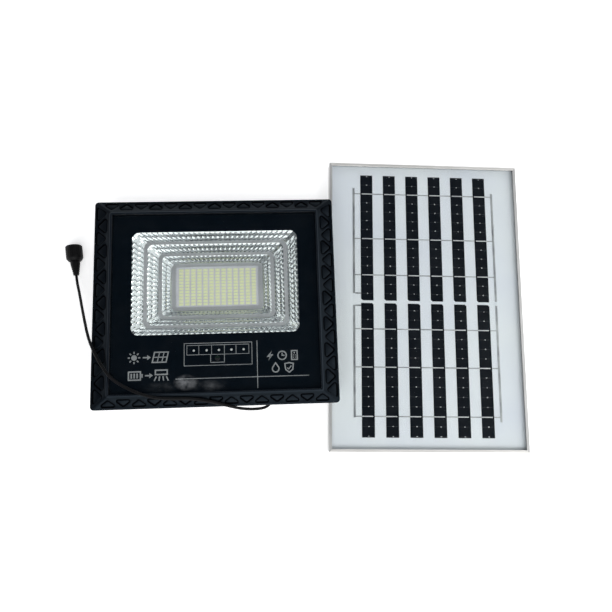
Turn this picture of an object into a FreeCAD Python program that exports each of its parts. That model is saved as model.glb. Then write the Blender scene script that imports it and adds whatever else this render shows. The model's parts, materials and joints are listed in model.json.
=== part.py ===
import FreeCAD, Part
import math
import os
import re

import Sketcher
from FreeCAD import Placement, Rotation, Vector

# A solar flood light kit lying flat on a table: a black lamp with its glass up, its swivel
# bracket folded behind it, its lead with a screw connector, and the separate solar panel.
# The origin is the centre of the lamp's back, on the table. +X runs across the lamp towards
# the panel, +Y towards the lamp's top edge, and +Z out of the glass.

DIMENSIONS = {
    # The lamp's front bezel
    "lamp_width": 274.4,
    "lamp_height": 237.6,
    "lamp_corner": 4.0,
    "bezel_foot": 30.5,
    "bezel_shoulder": 45.0,
    "bezel_land": 49.3,
    "bezel_top": 50.0,
    "side_band": 17.8,
    "end_band": 13.5,
    "view_width": 233.4,
    "view_height": 205.2,
    "ridge_width": 2.2,
    "frame_corner": 1.9,
    "cavity_width": 255.0,
    "cavity_height": 218.0,
    "shelf_level": 43.55,
    # Triangular relief pockets in the bands
    "relief_depth": 1.1,
    "side_base": 24.2,
    "side_rise": 14.2,
    "side_pitch": 29.8,
    "side_corner": 3.1,
    "end_base": 25.4,
    "end_rise": 9.5,
    "end_pitch": 33.6,
    "end_corner": 2.4,
    # Glass, its printed mask and gasket
    "glass_width": 240.0,
    "glass_height": 212.0,
    "glass_base": 43.7,
    "glass_thickness": 3.0,
    "glass_gap": 0.4,
    "mask_thickness": 0.15,
    "gasket_thickness": 0.5,
    # The window in the mask and the reflector behind it
    "window_width": 189.5,
    "window_height": 119.3,
    "window_corner": 8.5,
    "window_centre": 22.25,
    "flange_width": 254.0,
    "flange_height": 217.2,
    "flange_thickness": 1.5,
    "tier_drop": 9.12,
    "tier_corner_step": 1.5,
    "throat_width": 112.0,
    "throat_height": 62.0,
    "bowl_wall": 3.0,
    "bowl_screw_x": 124.4,
    "bowl_screw_pitch": 75.0,
    "peep_slot_width": 72.0,
    "peep_slot_height": 7.0,
    "peep_slot_corner": 3.0,
    "receiver_hole": 4.0,
    # LED board, chips and heat sink plate
    "board_top": 15.0,
    "board_thickness": 1.5,
    "board_width": 108.0,
    "board_height": 59.0,
    "chip_length": 5.2,
    "chip_width": 2.9,
    "chip_height": 0.8,
    "chip_pitch_x": 7.15,
    "chip_pitch_y": 3.74,
    "sink_width": 126.0,
    "sink_height": 76.0,
    "sink_thickness": 3.0,
    "board_screw_x": 51.0,
    "board_screw_y": 26.0,
    "sink_screw_x": 59.0,
    "sink_screw_y": 34.0,
    "sunk_head": 0.9,
    # Rear housing
    "housing_width": 224.0,
    "housing_height": 184.0,
    "housing_corner": 8.0,
    "housing_wall": 2.5,
    "base_width": 204.0,
    "base_height": 164.0,
    "base_level": 5.0,
    "chamfer_top": 10.0,
    "floor_level": 7.5,
    "inner_chamfer_top": 11.5,
    "lip_level": 28.0,
    "lip_inset": 0.8,
    "pad_width": 120.0,
    "pad_height": 90.0,
    "fin_thickness": 2.5,
    "fin_pitch": 13.0,
    "fin_length": 150.0,
    "fin_foot": 0.5,
    # Seal and screws between bezel and housing
    "seal_width": 256.4,
    "seal_height": 219.4,
    "seal_section": 1.6,
    "seal_depth": 1.0,
    "screw_x": 132.0,
    "screw_y": 113.5,
    "side_screw_y": 70.0,
    "end_screw_x": 85.0,
    "screw_shank": 1.75,
    "screw_length": 8.0,
    "small_shank": 1.1,
    "small_grip": 2.7,
    "drive_slot": 0.66,
    # Pivots and bracket
    "pivot_level": 16.0,
    "pivot_bolt": 3.0,
    "pivot_bolt_end": 107.0,
    "pivot_clearance": 0.05,
    "boss_face": 114.2,
    "boss_back": 104.5,
    "insert_radius": 4.5,
    "insert_back": 106.5,
    "washer_face": 117.7,
    "arm_inner": 114.5,
    "bracket_thickness": 3.0,
    "bracket_width": 22.0,
    "bracket_reach": 100.0,
    "bracket_bend": 5.0,
    "bracket_bore": 4.5,
    "slot_centre": 70.0,
    "slot_length": 30.0,
    "slot_half": 3.25,
    # Controller board
    "control_centre": 3.0,
    "control_y": -57.0,
    "control_width": 90.0,
    "control_height": 26.0,
    "control_base": 38.0,
    "control_thickness": 1.6,
    "control_screw_x": 41.0,
    "control_screw_y": 9.8,
    "indicator_y": -56.0,
    "indicator_radius": 1.5,
    "receiver_x": 1.6,
    "receiver_y": -65.5,
    # Battery
    "cell_radius": 13.25,
    "cell_length": 65.5,
    "cell_pitch": 67.0,
    "battery_y": -58.0,
    "battery_z": 22.2,
    # Cable gland and lead
    "gland_x": 62.0,
    "gland_z": 19.5,
    "gland_thread": 5.9,
    "gland_hex": 7.8,
    "gland_reach": 14.0,
    "lead_radius": 1.6,
    "vent_radius": 3.0,
    "vent_x": -80.0,
    # The lead's connector, along its own axis from its tail
    "tail_radius": 3.3,
    "sleeve_radius": 5.6,
    "collar_start": 17.4,
    "collar_end": 36.0,
    "collar_radius": 9.7,
    "collar_bore": 8.1,
    # Solar panel, around its own centre
    "panel_x": 249.84,
    "panel_y": -3.75,
    "panel_yaw": -2.41,
    "panel_width": 235.0,
    "panel_height": 351.0,
    "panel_depth": 17.0,
    "rail_wall": 1.4,
    "rail_lip": 3.4,
    "rail_flange": 15.0,
    "channel_depth": 5.4,
    "mitre_reach": 20.0,
    "pane_width": 230.6,
    "pane_height": 346.6,
    "pane_thickness": 3.2,
    "strip_width": 15.1,
    "strip_length": 158.75,
    "strip_pitch": 28.4,
    "strip_gap": 3.35,
    "field_centre": 1.3,
    "bus_x": 87.0,
    "bus_width": 2.5,
    "ribbon_width": 1.2,
    "mount_hole": 2.5,
    "mount_hole_y": 110.0,
    "mount_hole_inset": 9.0,
    # Junction box on the panel's back
    "junction_x": -57.0,
    "junction_y": 3.0,
    "junction_width": 58.0,
    "junction_height": 40.0,
    "junction_wall": 1.8,
    "junction_lid": 1.5,
    "junction_foot": 1.0,
}

doc = FreeCAD.newDocument("SolarFloodLight")
sheet = doc.addObject("Spreadsheet::Sheet", "Dims")
for row, (alias, number) in enumerate(DIMENSIONS.items(), start=1):
    sheet.set("A%d" % row, alias)
    sheet.set("B%d" % row, str(number))
    sheet.setAlias("B%d" % row, alias)
doc.recompute()

# Formulas and places that several sub-parts share
REBATE_TOP = "(glass_base + glass_thickness + gasket_thickness)"
CONTROL_TOP = "(control_base + control_thickness)"
# Each tier's run across and along, then the flat step's
TIERS = [("11.8", "8.8", "4", "3.2"), ("11.4", "8.6", "4", "3.2"), ("10", "7.8", "4.75", "3.75")]
INDICATORS = [-24.8, -10.5, 3.2, 17.2, 30.8]
HOUSING_SCREWS = [("%d * screw_x" % i, "%d * side_screw_y" % j) for i in (-1, 1) for j in (-1, 1)]
HOUSING_SCREWS += [("%d * end_screw_x" % i, "%d * screw_y" % j) for i in (-1, 1) for j in (-1, 1)]
BOWL_SCREWS = [("%d * bowl_screw_x" % i, "%d * bowl_screw_pitch" % j)
               for i in (-1, 1) for j in (-1, 0, 1)]
CONTROL_SCREWS = [("control_centre + %d * control_screw_x" % i,
                   "control_y + %d * control_screw_y" % j) for i in (-1, 1) for j in (-1, 1)]
BOARD_SCREWS = [("%d * board_screw_x" % i, "window_centre + %d * board_screw_y" % j)
                for i in (-1, 1) for j in (-1, 1)]
SINK_SCREWS = [("%d * sink_screw_x" % i, "window_centre + %d * sink_screw_y" % j)
               for i in (-1, 1) for j in (-1, 1)]
# Centre, length, width and height of the parts under the controller board
CONTROL_CHIPS = [(-20, -60, 7, 6, 1.6), (-4, -58, 5, 4, 1.2), (20, -60, 9, 6, 1.5),
                 (-32, -54, 4, 3, 1), (30, -66, 6, 3, 1.2)]
RIBBON_ROWS = [33.1, 78.7, 136.2]

nodes = {}

ALONG_X = Rotation(Vector(0, 1, 0), 90)
TOWARDS_MINUS_X = Rotation(Vector(0, 1, 0), -90)
ALONG_Y = Rotation(Vector(1, 0, 0), -90)
TOWARDS_MINUS_Y = Rotation(Vector(1, 0, 0), 90)
# The lamp's two sides, each with the turn that points a rod outwards
OUTWARDS = ((-1, TOWARDS_MINUS_X), (1, ALONG_X))


# ---------------------------------------------------------------- building with formulas


def formula(text):
    """A formula in aliases, with each alias written as its cell in the sheet."""
    return re.sub(r"[a-z][a-z_]*", lambda word: "Dims." + word.group(), str(text))


def value(text):
    return float(sheet.evalExpression(formula(text)))


def bind(thing, **sizes):
    for name, text in sizes.items():
        thing.setExpression(name, formula(text))
    return thing


def move(thing, x=0, y=0, z=0, turn=None):
    """Place a thing at three formulas, turned by a fixed rotation."""
    if turn is not None:
        thing.Placement = Placement(Vector(), turn)
    for axis, text in zip("xyz", (x, y, z)):
        thing.setExpression("Placement.Base." + axis, formula(text))
    return thing


def publish(name, thing, place=None):
    """Name a finished sub-part, which is written to its own file."""
    thing.Label = name
    if place is not None:
        thing.Placement = place.multiply(thing.Placement)
    nodes[name] = thing
    return thing


def block(length, width, height, x=0, y=0, z=0):
    """A box centred on x and y that stands on z."""
    box = bind(doc.addObject("Part::Box", "Block"), Length=length, Width=width, Height=height)
    return move(box, "%s - (%s) / 2" % (x, length), "%s - (%s) / 2" % (y, width), z)


def rod(radius, length, x=0, y=0, z=0, turn=None):
    """A cylinder that starts at x, y and z, along Z unless it is turned."""
    cylinder = bind(doc.addObject("Part::Cylinder", "Rod"), Radius=radius, Height=length)
    return move(cylinder, x, y, z, turn)


def hexagon(circumradius, length, x=0, y=0, z=0, turn=None):
    prism = doc.addObject("Part::Prism", "Hexagon")
    prism.Polygon = 6
    bind(prism, Circumradius=circumradius, Height=length)
    return move(prism, x, y, z, turn)


def fuse(*parts):
    joined = doc.addObject("Part::MultiFuse", "Fuse")
    joined.Shapes = list(parts)
    return joined


def gather(*parts):
    """Separate solids in one sub-part, such as a set of screws."""
    group = doc.addObject("Part::Compound", "Group")
    group.Links = list(parts)
    return group


def cut(base, *tools):
    result = doc.addObject("Part::Cut", "Cut")
    result.Base = base
    result.Tool = tools[0] if len(tools) == 1 else gather(*tools)
    return result


# ---------------------------------------------------------------- sketches and features


def new_body(name):
    return doc.addObject("PartDesign::Body", name)


def new_sketch(body, plane="XY_Plane", x=0, y=0, z=0):
    sketch = body.newObject("Sketcher::SketchObject", "Sketch")
    support = next(item for item in body.Origin.OriginFeatures if item.Role == plane)
    sketch.AttachmentSupport = (support, [""])
    sketch.MapMode = "FlatFace"
    for axis, text in zip("xyz", (x, y, z)):
        sketch.setExpression("AttachmentOffset.Base." + axis, formula(text))
    return sketch


def constrain(sketch, name, text, kind, *where):
    """A named constraint whose size is a formula."""
    index = sketch.addConstraint(Sketcher.Constraint(kind, *where, value(text)))
    label = "%s_%d" % (name, index)
    sketch.renameConstraint(index, label)
    sketch.setExpression("Constraints." + label, formula(text))


def draw_polygon(sketch, corners):
    """A closed outline of straight lines, each corner given by two formulas."""
    points = [Vector(value(x), value(y), 0) for x, y in corners]
    first = sketch.GeometryCount
    count = len(points)
    for index, start in enumerate(points):
        sketch.addGeometry(Part.LineSegment(start, points[(index + 1) % count]), False)
    for index in range(count):
        following = first + (index + 1) % count
        sketch.addConstraint(Sketcher.Constraint("Coincident", first + index, 2, following, 1))
    for index, (x, y) in enumerate(corners):
        constrain(sketch, "across", x, "DistanceX", -1, 1, first + index, 1)
        constrain(sketch, "along", y, "DistanceY", -1, 1, first + index, 1)


def draw_rounded(sketch, width, height, radius):
    """A rectangle with round corners, centred on the sketch."""
    half_x, half_y, r = value(width) / 2, value(height) / 2, value(radius)
    first = sketch.GeometryCount
    quarter = math.pi / 2
    edge = [
        (Vector(r - half_x, -half_y, 0), Vector(half_x - r, -half_y, 0)),
        (Vector(half_x, r - half_y, 0), Vector(half_x, half_y - r, 0)),
        (Vector(half_x - r, half_y, 0), Vector(r - half_x, half_y, 0)),
        (Vector(-half_x, half_y - r, 0), Vector(-half_x, r - half_y, 0)),
    ]
    centre = [
        Vector(half_x - r, r - half_y, 0),
        Vector(half_x - r, half_y - r, 0),
        Vector(r - half_x, half_y - r, 0),
        Vector(r - half_x, r - half_y, 0),
    ]
    for side in range(4):
        sketch.addGeometry(Part.LineSegment(*edge[side]), False)
        circle = Part.Circle(centre[side], Vector(0, 0, 1), r)
        start = (side - 1) * quarter
        sketch.addGeometry(Part.ArcOfCircle(circle, start, start + quarter), False)
    for index in range(8):
        following = first + (index + 1) % 8
        sketch.addConstraint(Sketcher.Constraint("Tangent", first + index, 2, following, 1))
    for index in (0, 4):
        sketch.addConstraint(Sketcher.Constraint("Horizontal", first + index))
    for index in (2, 6):
        sketch.addConstraint(Sketcher.Constraint("Vertical", first + index))
    for index in (3, 5, 7):
        sketch.addConstraint(Sketcher.Constraint("Equal", first + 1, first + index))
    symmetry = Sketcher.Constraint("Symmetric", first + 1, 3, first + 5, 3, -1, 1)
    sketch.addConstraint(symmetry)
    constrain(sketch, "radius", radius, "Radius", first + 1)
    constrain(sketch, "width", width, "DistanceX", first + 6, 1, first + 2, 1)
    constrain(sketch, "height", height, "DistanceY", first, 1, first + 4, 1)


def draw_circle(sketch, radius, x=0, y=0):
    first = sketch.GeometryCount
    centre = Vector(value(x), value(y), 0)
    sketch.addGeometry(Part.Circle(centre, Vector(0, 0, 1), value(radius)), False)
    constrain(sketch, "radius", radius, "Radius", first)
    constrain(sketch, "across", x, "DistanceX", -1, 1, first, 3)
    constrain(sketch, "along", y, "DistanceY", -1, 1, first, 3)


def rounded_sketch(body, width, height, radius, z, y=0, x=0):
    sketch = new_sketch(body, x=x, y=y, z=z)
    draw_rounded(sketch, width, height, radius)
    return sketch


def pad(body, sketch, length):
    feature = body.newObject("PartDesign::Pad", "Pad")
    feature.Profile = sketch
    return bind(feature, Length=length)


def carve(body, feature):
    """Rebuild a feature that takes material away, and check that it did."""
    doc.recompute()
    if not feature.Shape.Volume < feature.BaseFeature.Shape.Volume - 1e-6:
        raise RuntimeError("%s of %s removed nothing" % (feature.Name, body.Name))
    return feature


def pocket(body, sketch, depth, upwards=False):
    """Remove a sketch's outline below its plane, or above it."""
    feature = body.newObject("PartDesign::Pocket", "Pocket")
    feature.Profile = sketch
    feature.Reversed = upwards
    bind(feature, Length=depth)
    return carve(body, feature)


def loft(body, first, second, kind="AdditiveLoft"):
    feature = body.newObject("PartDesign::" + kind, "Loft")
    feature.Profile = first
    feature.Sections = [second]
    feature.Ruled = True
    return carve(body, feature) if kind == "SubtractiveLoft" else feature


def plate(name, width, height, radius, z, thickness, y=0):
    """A flat plate with round corners."""
    body = new_body(name)
    pad(body, rounded_sketch(body, width, height, radius, z, y), thickness)
    return body


def turned(name, outline):
    """A body of revolution about Z, from corners of radius and height."""
    body = new_body(name)
    sketch = new_sketch(body, plane="XZ_Plane")
    draw_polygon(sketch, outline)
    feature = body.newObject("PartDesign::Revolution", "Revolution")
    feature.Profile = sketch
    feature.ReferenceAxis = (sketch, ["V_Axis"])
    feature.Angle = 360
    return body


def route_wire(points):
    """Straight runs through the points, joined by the largest arcs that they leave room for."""
    edges, radii = [], []
    start = points[0]
    for before, corner, after in zip(points, points[1:], points[2:]):
        back, ahead = before - corner, after - corner
        turn = math.pi - back.getAngle(ahead)
        reach = 0.45 * min(back.Length, ahead.Length)
        radius = reach / math.tan(turn / 2)
        back.normalize()
        ahead.normalize()
        entry, leave = corner + back * reach, corner + ahead * reach
        inward = (back + ahead).normalize()
        middle = corner + inward * (math.hypot(radius, reach) - radius)
        edges.append(Part.LineSegment(start, entry).toShape())
        edges.append(Part.Arc(entry, middle, leave).toShape())
        radii.append(radius)
        start = leave
    edges.append(Part.LineSegment(start, points[-1]).toShape())
    return Part.Wire(edges), radii


def tube(name, points, radius):
    """A round cord or wire along a route, and the radii of its bends."""
    wire, radii = route_wire(points)
    profile = Part.Wire([Part.Circle(points[0], points[1] - points[0], radius).toShape()])
    solid = wire.makePipeShell([profile], True, False)
    expected = math.pi * radius**2 * wire.Length
    if abs(solid.Volume / expected - 1) > 0.01:
        raise RuntimeError("%s has the wrong volume" % name)
    feature = doc.addObject("Part::Feature", name)
    feature.Shape = solid
    print("%s: length %.1f, bend radii %s" % (name, wire.Length, [round(r, 1) for r in radii]))
    return feature


# ---------------------------------------------------------------- the lamp's front


def relief_tool(band, heading, slope, along, points_out, inner_edge, sizes):
    """One round-cornered triangular prism, sunk square to a sloping band of the bezel."""
    base, rise, corner_radius = sizes
    half = base / 2
    corners = [Vector(0, -half, 0), Vector(0, half, 0), Vector(rise, 0, 0)]
    bends = []
    for index, corner in enumerate(corners):
        back = (corners[index - 1] - corner).normalize()
        ahead = (corners[(index + 1) % 3] - corner).normalize()
        half_angle = back.getAngle(ahead) / 2
        inward = (back + ahead).normalize()
        span = corner_radius / math.tan(half_angle)
        middle = corner + inward * (corner_radius / math.sin(half_angle) - corner_radius)
        bends.append((corner + back * span, middle, corner + ahead * span))
    edges = []
    for index, (entry, middle, leave) in enumerate(bends):
        edges.append(Part.Arc(entry, middle, leave).toShape())
        edges.append(Part.LineSegment(leave, bends[(index + 1) % 3][0]).toShape())
    depth = value("relief_depth")
    tool = doc.addObject("Part::Feature", "Relief")
    tool.Shape = Part.Face(Part.Wire(edges)).extrude(Vector(0, 0, 2 * depth))
    margin = (value(band) / math.cos(math.radians(slope)) - rise) / 2
    start = margin if points_out else margin + rise
    flip = Rotation(Vector(0, 0, 1), 0 if points_out else 180)
    on_band = Placement(Vector(start, along, -depth), flip)
    edge = Vector(value(inner_edge), 0, value("bezel_land"))
    tilt = Placement(edge, Rotation(Vector(0, 1, 0), slope))
    turn = Placement(Vector(), Rotation(Vector(0, 0, 1), heading))
    tool.Placement = turn.multiply(tilt).multiply(on_band)
    return tool


def relief_tools():
    """Triangles along the four bands, pointing outwards and inwards by turns."""
    bands = [
        ("side", 0, "lamp_width / 2 - side_band"),
        ("end", 90, "lamp_height / 2 - end_band"),
    ]
    tools = []
    for name, heading, inner_edge in bands:
        band = name + "_band"
        sizes = [value(name + kind) for kind in ("_base", "_rise", "_corner")]
        slope = math.degrees(math.atan(value("(bezel_land - bezel_shoulder) / %s" % band)))
        for side in (0, 180):
            for points_out, count in ((True, 7), (False, 8)):
                for index in range(count):
                    along = (index - (count - 1) / 2) * value(name + "_pitch")
                    tools.append(relief_tool(band, heading + side, slope, along, points_out,
                                             inner_edge, sizes))
    return tools


def make_bezel():
    body = new_body("FrontBezel")
    pad(body, rounded_sketch(body, "lamp_width", "lamp_height", "lamp_corner", "bezel_foot"),
        "bezel_shoulder - bezel_foot")
    loft(
        body,
        rounded_sketch(body, "lamp_width", "lamp_height", "lamp_corner", "bezel_shoulder"),
        rounded_sketch(body, "lamp_width - 2 * side_band", "lamp_height - 2 * end_band",
                       "lamp_corner / 2", "bezel_land"),
    )
    pad(body, rounded_sketch(body, "view_width + 2 * ridge_width",
                             "view_height + 2 * ridge_width", "ridge_width", "bezel_land"),
        "bezel_top - bezel_land")
    pocket(body, rounded_sketch(body, "cavity_width", "cavity_height", "housing_corner / 2",
                                "shelf_level"), "shelf_level - bezel_foot")
    pocket(body, rounded_sketch(body, "glass_width + 2 * glass_gap",
                                "glass_height + 2 * glass_gap", "frame_corner", REBATE_TOP),
           "%s - shelf_level" % REBATE_TOP)
    pocket(body, rounded_sketch(body, "view_width", "view_height", "glass_gap", "bezel_top"),
           "bezel_top - (%s)" % REBATE_TOP)
    groove = rounded_sketch(body, "seal_width + 2 * seal_section",
                            "seal_height + 2 * seal_section", "housing_corner",
                            "bezel_foot + seal_depth")
    draw_rounded(groove, "seal_width", "seal_height", "housing_corner - seal_section")
    pocket(body, groove, "seal_depth")
    holes = [rod("screw_shank", "screw_length", x, y, "bezel_foot") for x, y in HOUSING_SCREWS]
    holes += [rod("small_shank", "small_grip", x, y, "shelf_level") for x, y in BOWL_SCREWS]
    return publish("front_bezel", cut(body, *relief_tools(), *holes))


def make_glazing():
    corner = "frame_corner"
    publish("glass_lens", plate("GlassLens", "glass_width", "glass_height", corner,
                                "glass_base", "glass_thickness"))
    gasket = new_body("GlassGasket")
    ring = rounded_sketch(gasket, "glass_width", "glass_height", corner,
                          "glass_base + glass_thickness")
    draw_rounded(ring, "view_width", "view_height", "glass_gap")
    pad(gasket, ring, "gasket_thickness")
    publish("glass_gasket", gasket)
    mask = plate("PrintedMask", "glass_width", "glass_height", corner,
                 "glass_base - mask_thickness", "mask_thickness")
    window = rounded_sketch(mask, "window_width", "window_height", "window_corner",
                            "glass_base", "window_centre")
    pocket(mask, window, "mask_thickness")
    peepholes = new_sketch(mask, z="glass_base")
    for x in INDICATORS:
        draw_circle(peepholes, "indicator_radius", x, "indicator_y")
    draw_circle(peepholes, "2 * indicator_radius", "receiver_x", "receiver_y")
    pocket(mask, peepholes, "mask_thickness")
    publish("printed_mask", mask)


def make_reflector():
    """A stepped bowl: three sloping tiers with flat steps between them, and a flat rim."""
    body = new_body("Reflector")
    top = "shelf_level"
    under = "shelf_level - flange_thickness"
    pad(body, rounded_sketch(body, "flange_width", "flange_height", "housing_corner / 2", under),
        "flange_thickness")
    loft(
        body,
        rounded_sketch(body, "window_width + 2 * bowl_wall", "window_height + 2 * bowl_wall",
                       "window_corner + bowl_wall", under, "window_centre"),
        rounded_sketch(body, "throat_width", "throat_height", "bowl_wall", "board_top",
                       "window_centre"),
    )
    width, height, radius = "window_width", "window_height", "window_corner"
    level = top
    for slope_x, slope_y, step_x, step_y in TIERS:
        narrow = ("%s - 2 * %s" % (width, slope_x), "%s - 2 * %s" % (height, slope_y))
        inner_radius = "%s - tier_corner_step" % radius
        lower = "%s - tier_drop" % level
        loft(
            body,
            rounded_sketch(body, width, height, radius, level, "window_centre"),
            rounded_sketch(body, *narrow, inner_radius, lower, "window_centre"),
            "SubtractiveLoft",
        )
        width = "%s - 2 * %s" % (narrow[0], step_x)
        height = "%s - 2 * %s" % (narrow[1], step_y)
        radius, level = inner_radius, lower
    pocket(body, rounded_sketch(body, width, height, "1", level, "window_centre"),
           "%s - board_top" % level)
    slot = new_sketch(body, x="control_centre", y="indicator_y", z=top)
    draw_rounded(slot, "peep_slot_width", "peep_slot_height", "peep_slot_corner")
    pocket(body, slot, "flange_thickness")
    receiver = new_sketch(body, z=top)
    draw_circle(receiver, "receiver_hole", "receiver_x", "receiver_y - 1")
    pocket(body, receiver, "flange_thickness")
    bosses = [rod("3", "%s - (%s)" % (under, CONTROL_TOP), x, y, CONTROL_TOP)
              for x, y in CONTROL_SCREWS]
    holes = [rod("small_shank", "flange_thickness", x, y, under) for x, y in BOWL_SCREWS]
    holes += [rod("small_shank", "small_grip", x, y, CONTROL_TOP) for x, y in CONTROL_SCREWS]
    publish("reflector", cut(fuse(body, *bosses), *holes))


def screw(head_radius, head_height, shank_radius, shank_length, x, y, z):
    """A cross-slotted screw under its seat at z, pointing up."""
    head = rod(head_radius, head_height, x, y, "%s - (%s)" % (z, head_height))
    shank = rod(shank_radius, shank_length, x, y, z)
    depth = "(%s) / 2" % head_height
    reach = "(%s) * 1.2" % head_radius
    foot = "%s - (%s)" % (z, head_height)
    return cut(fuse(head, shank), block(reach, "drive_slot", depth, x, y, foot),
               block("drive_slot", reach, depth, x, y, foot))


def make_bowl_screws():
    under = "shelf_level - flange_thickness"
    screws = [screw("2", "1.6", "small_shank", "flange_thickness + small_grip - 0.3", x, y, under)
              for x, y in BOWL_SCREWS]
    publish("reflector_screws", gather(*screws))


def make_light_engine():
    board = plate("LedBoard", "board_width", "board_height", "1",
                  "board_top - board_thickness", "board_thickness", "window_centre")
    holes = [rod("small_shank + 0.1", "board_thickness", x, y, "board_top - board_thickness")
             for x, y in BOARD_SCREWS]
    holes += [rod("1.7", "sunk_head", x, y, "board_top - sunk_head") for x, y in BOARD_SCREWS]
    publish("led_board", cut(board, *holes))
    chips = []
    for column in range(13):
        for row in range(12):
            chips.append(block("chip_length", "chip_width", "chip_height",
                               "%d * chip_pitch_x" % (column - 6),
                               "window_centre + %.1f * chip_pitch_y" % (row - 5.5),
                               "board_top"))
    publish("led_chips", gather(*chips))
    sink_base = "board_top - board_thickness - sink_thickness"
    sink = plate("HeatSink", "sink_width", "sink_height", "3", sink_base,
                 "sink_thickness", "window_centre")
    holes = [rod("small_shank", "sink_thickness", x, y, sink_base) for x, y in BOARD_SCREWS]
    holes += [rod("screw_shank", "sink_thickness", x, y, sink_base) for x, y in SINK_SCREWS]
    publish("heat_sink_plate", cut(sink, *holes))
    screws = [fuse(rod("1.6", "sunk_head", x, y, "board_top - sunk_head"),
                   rod("small_shank", "board_thickness - sunk_head + sink_thickness", x, y,
                       sink_base))
              for x, y in BOARD_SCREWS]
    return screws


def make_controller():
    board = block("control_width", "control_height", "control_thickness", "control_centre",
                  "control_y", "control_base")
    holes = [rod("small_shank + 0.1", "control_thickness", x, y, "control_base")
             for x, y in CONTROL_SCREWS]
    publish("controller_board", cut(board, *holes))
    screws = [screw("2", "1.4", "small_shank", "control_thickness + small_grip - 0.3", x, y,
                    "control_base") for x, y in CONTROL_SCREWS]
    publish("controller_screws", gather(*screws))
    lamps = []
    for x in INDICATORS:
        stem = rod("indicator_radius", "2.6", x, "indicator_y", CONTROL_TOP)
        skirt = rod("indicator_radius + 0.25", "0.8", x, "indicator_y", CONTROL_TOP)
        dome = doc.addObject("Part::Sphere", "Dome")
        bind(dome, Radius="indicator_radius - 0.01", Angle1="0")
        move(dome, x, "indicator_y", "%s + 2.6" % CONTROL_TOP)
        lamps.append(fuse(skirt, stem, dome))
    publish("indicator_leds", gather(*lamps))
    case = block("5", "3.2", "3.2", "receiver_x", "receiver_y - 1", CONTROL_TOP)
    bulge = rod("1.5", "0.5", "receiver_x", "receiver_y - 1", "%s + 3.2" % CONTROL_TOP)
    publish("remote_receiver", fuse(case, bulge))
    chips = []
    for x, y, length, width, height in CONTROL_CHIPS:
        chips.append(block(length, width, height, x, y, "control_base - (%s)" % height))
    capacitors = [rod("2.9", "4", x, -47.6, "control_base - 4") for x in (-24, 14)]
    publish("controller_components", gather(*chips, *capacitors))


def make_battery():
    cells = []
    for position in (-1, 0, 1):
        start = "%d * cell_pitch - cell_length / 2" % position
        can = rod("cell_radius", "cell_length - 1.2", start, "battery_y", "battery_z", ALONG_X)
        button = rod("4", "1.2", "%s + cell_length - 1.2" % start, "battery_y", "battery_z",
                     ALONG_X)
        cells.append(fuse(can, button))
    publish("battery_cells", gather(*cells))
    length = "2 * cell_pitch + cell_length + 3.6"
    width = "2 * cell_radius + 3.6"
    base = "battery_z - cell_radius - floor_level - 0.05"
    parts = [block("base_width - 2 * housing_wall - 1", width, base, 0, "battery_y",
                   "floor_level")]
    for side in (-1, 1):
        edge = "battery_y + %d * (cell_radius + 1.1)" % side
        parts.append(block(length, "1.4", "8", 0, edge, "floor_level + 1"))
        end = "%d * (cell_pitch + cell_length / 2 + 1.1)" % side
        parts.append(block("1.4", width, "19", end, "battery_y", "floor_level + 1"))
        parts.append(block("0.8", width, "16", "%d * cell_pitch / 2" % side, "battery_y",
                           "floor_level"))
    terminal = block("10", "5", "5", "60", "battery_y + cell_radius + 4.2", "floor_level")
    publish("battery_holder", fuse(*parts, terminal))
    tabs = []
    for position in (-1, 0, 1):
        for side in (-1, 1):
            face = "%d * cell_pitch + %d * (cell_length / 2 + 0.1)" % (position, side)
            tabs.append(block("0.2", "7", "9", face, "battery_y", "battery_z - 4.5"))
    publish("battery_tabs", gather(*tabs))
    leads = []
    for shift in (-2, 2):
        points = [(60 + shift, -40.5, 12.5), (60 + shift, -40.5, 20), (48 + shift, -41.5, 28),
                  (34 + shift, -45.5, 31.5), (34 + shift, -45.5, 38)]
        leads.append(tube("BatteryLead", [Vector(*point) for point in points], 0.6))
    publish("battery_leads", gather(*leads))
    leads = []
    for x in (6, 10):
        points = [(x, -7.25, 14.2), (x, -18, 14.2), (x, -31, 19), (x, -45.4, 29), (x, -45.4, 38)]
        leads.append(tube("LedLead", [Vector(*point) for point in points], 0.55))
    publish("led_leads", gather(*leads))


# ---------------------------------------------------------------- the lamp's back


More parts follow.
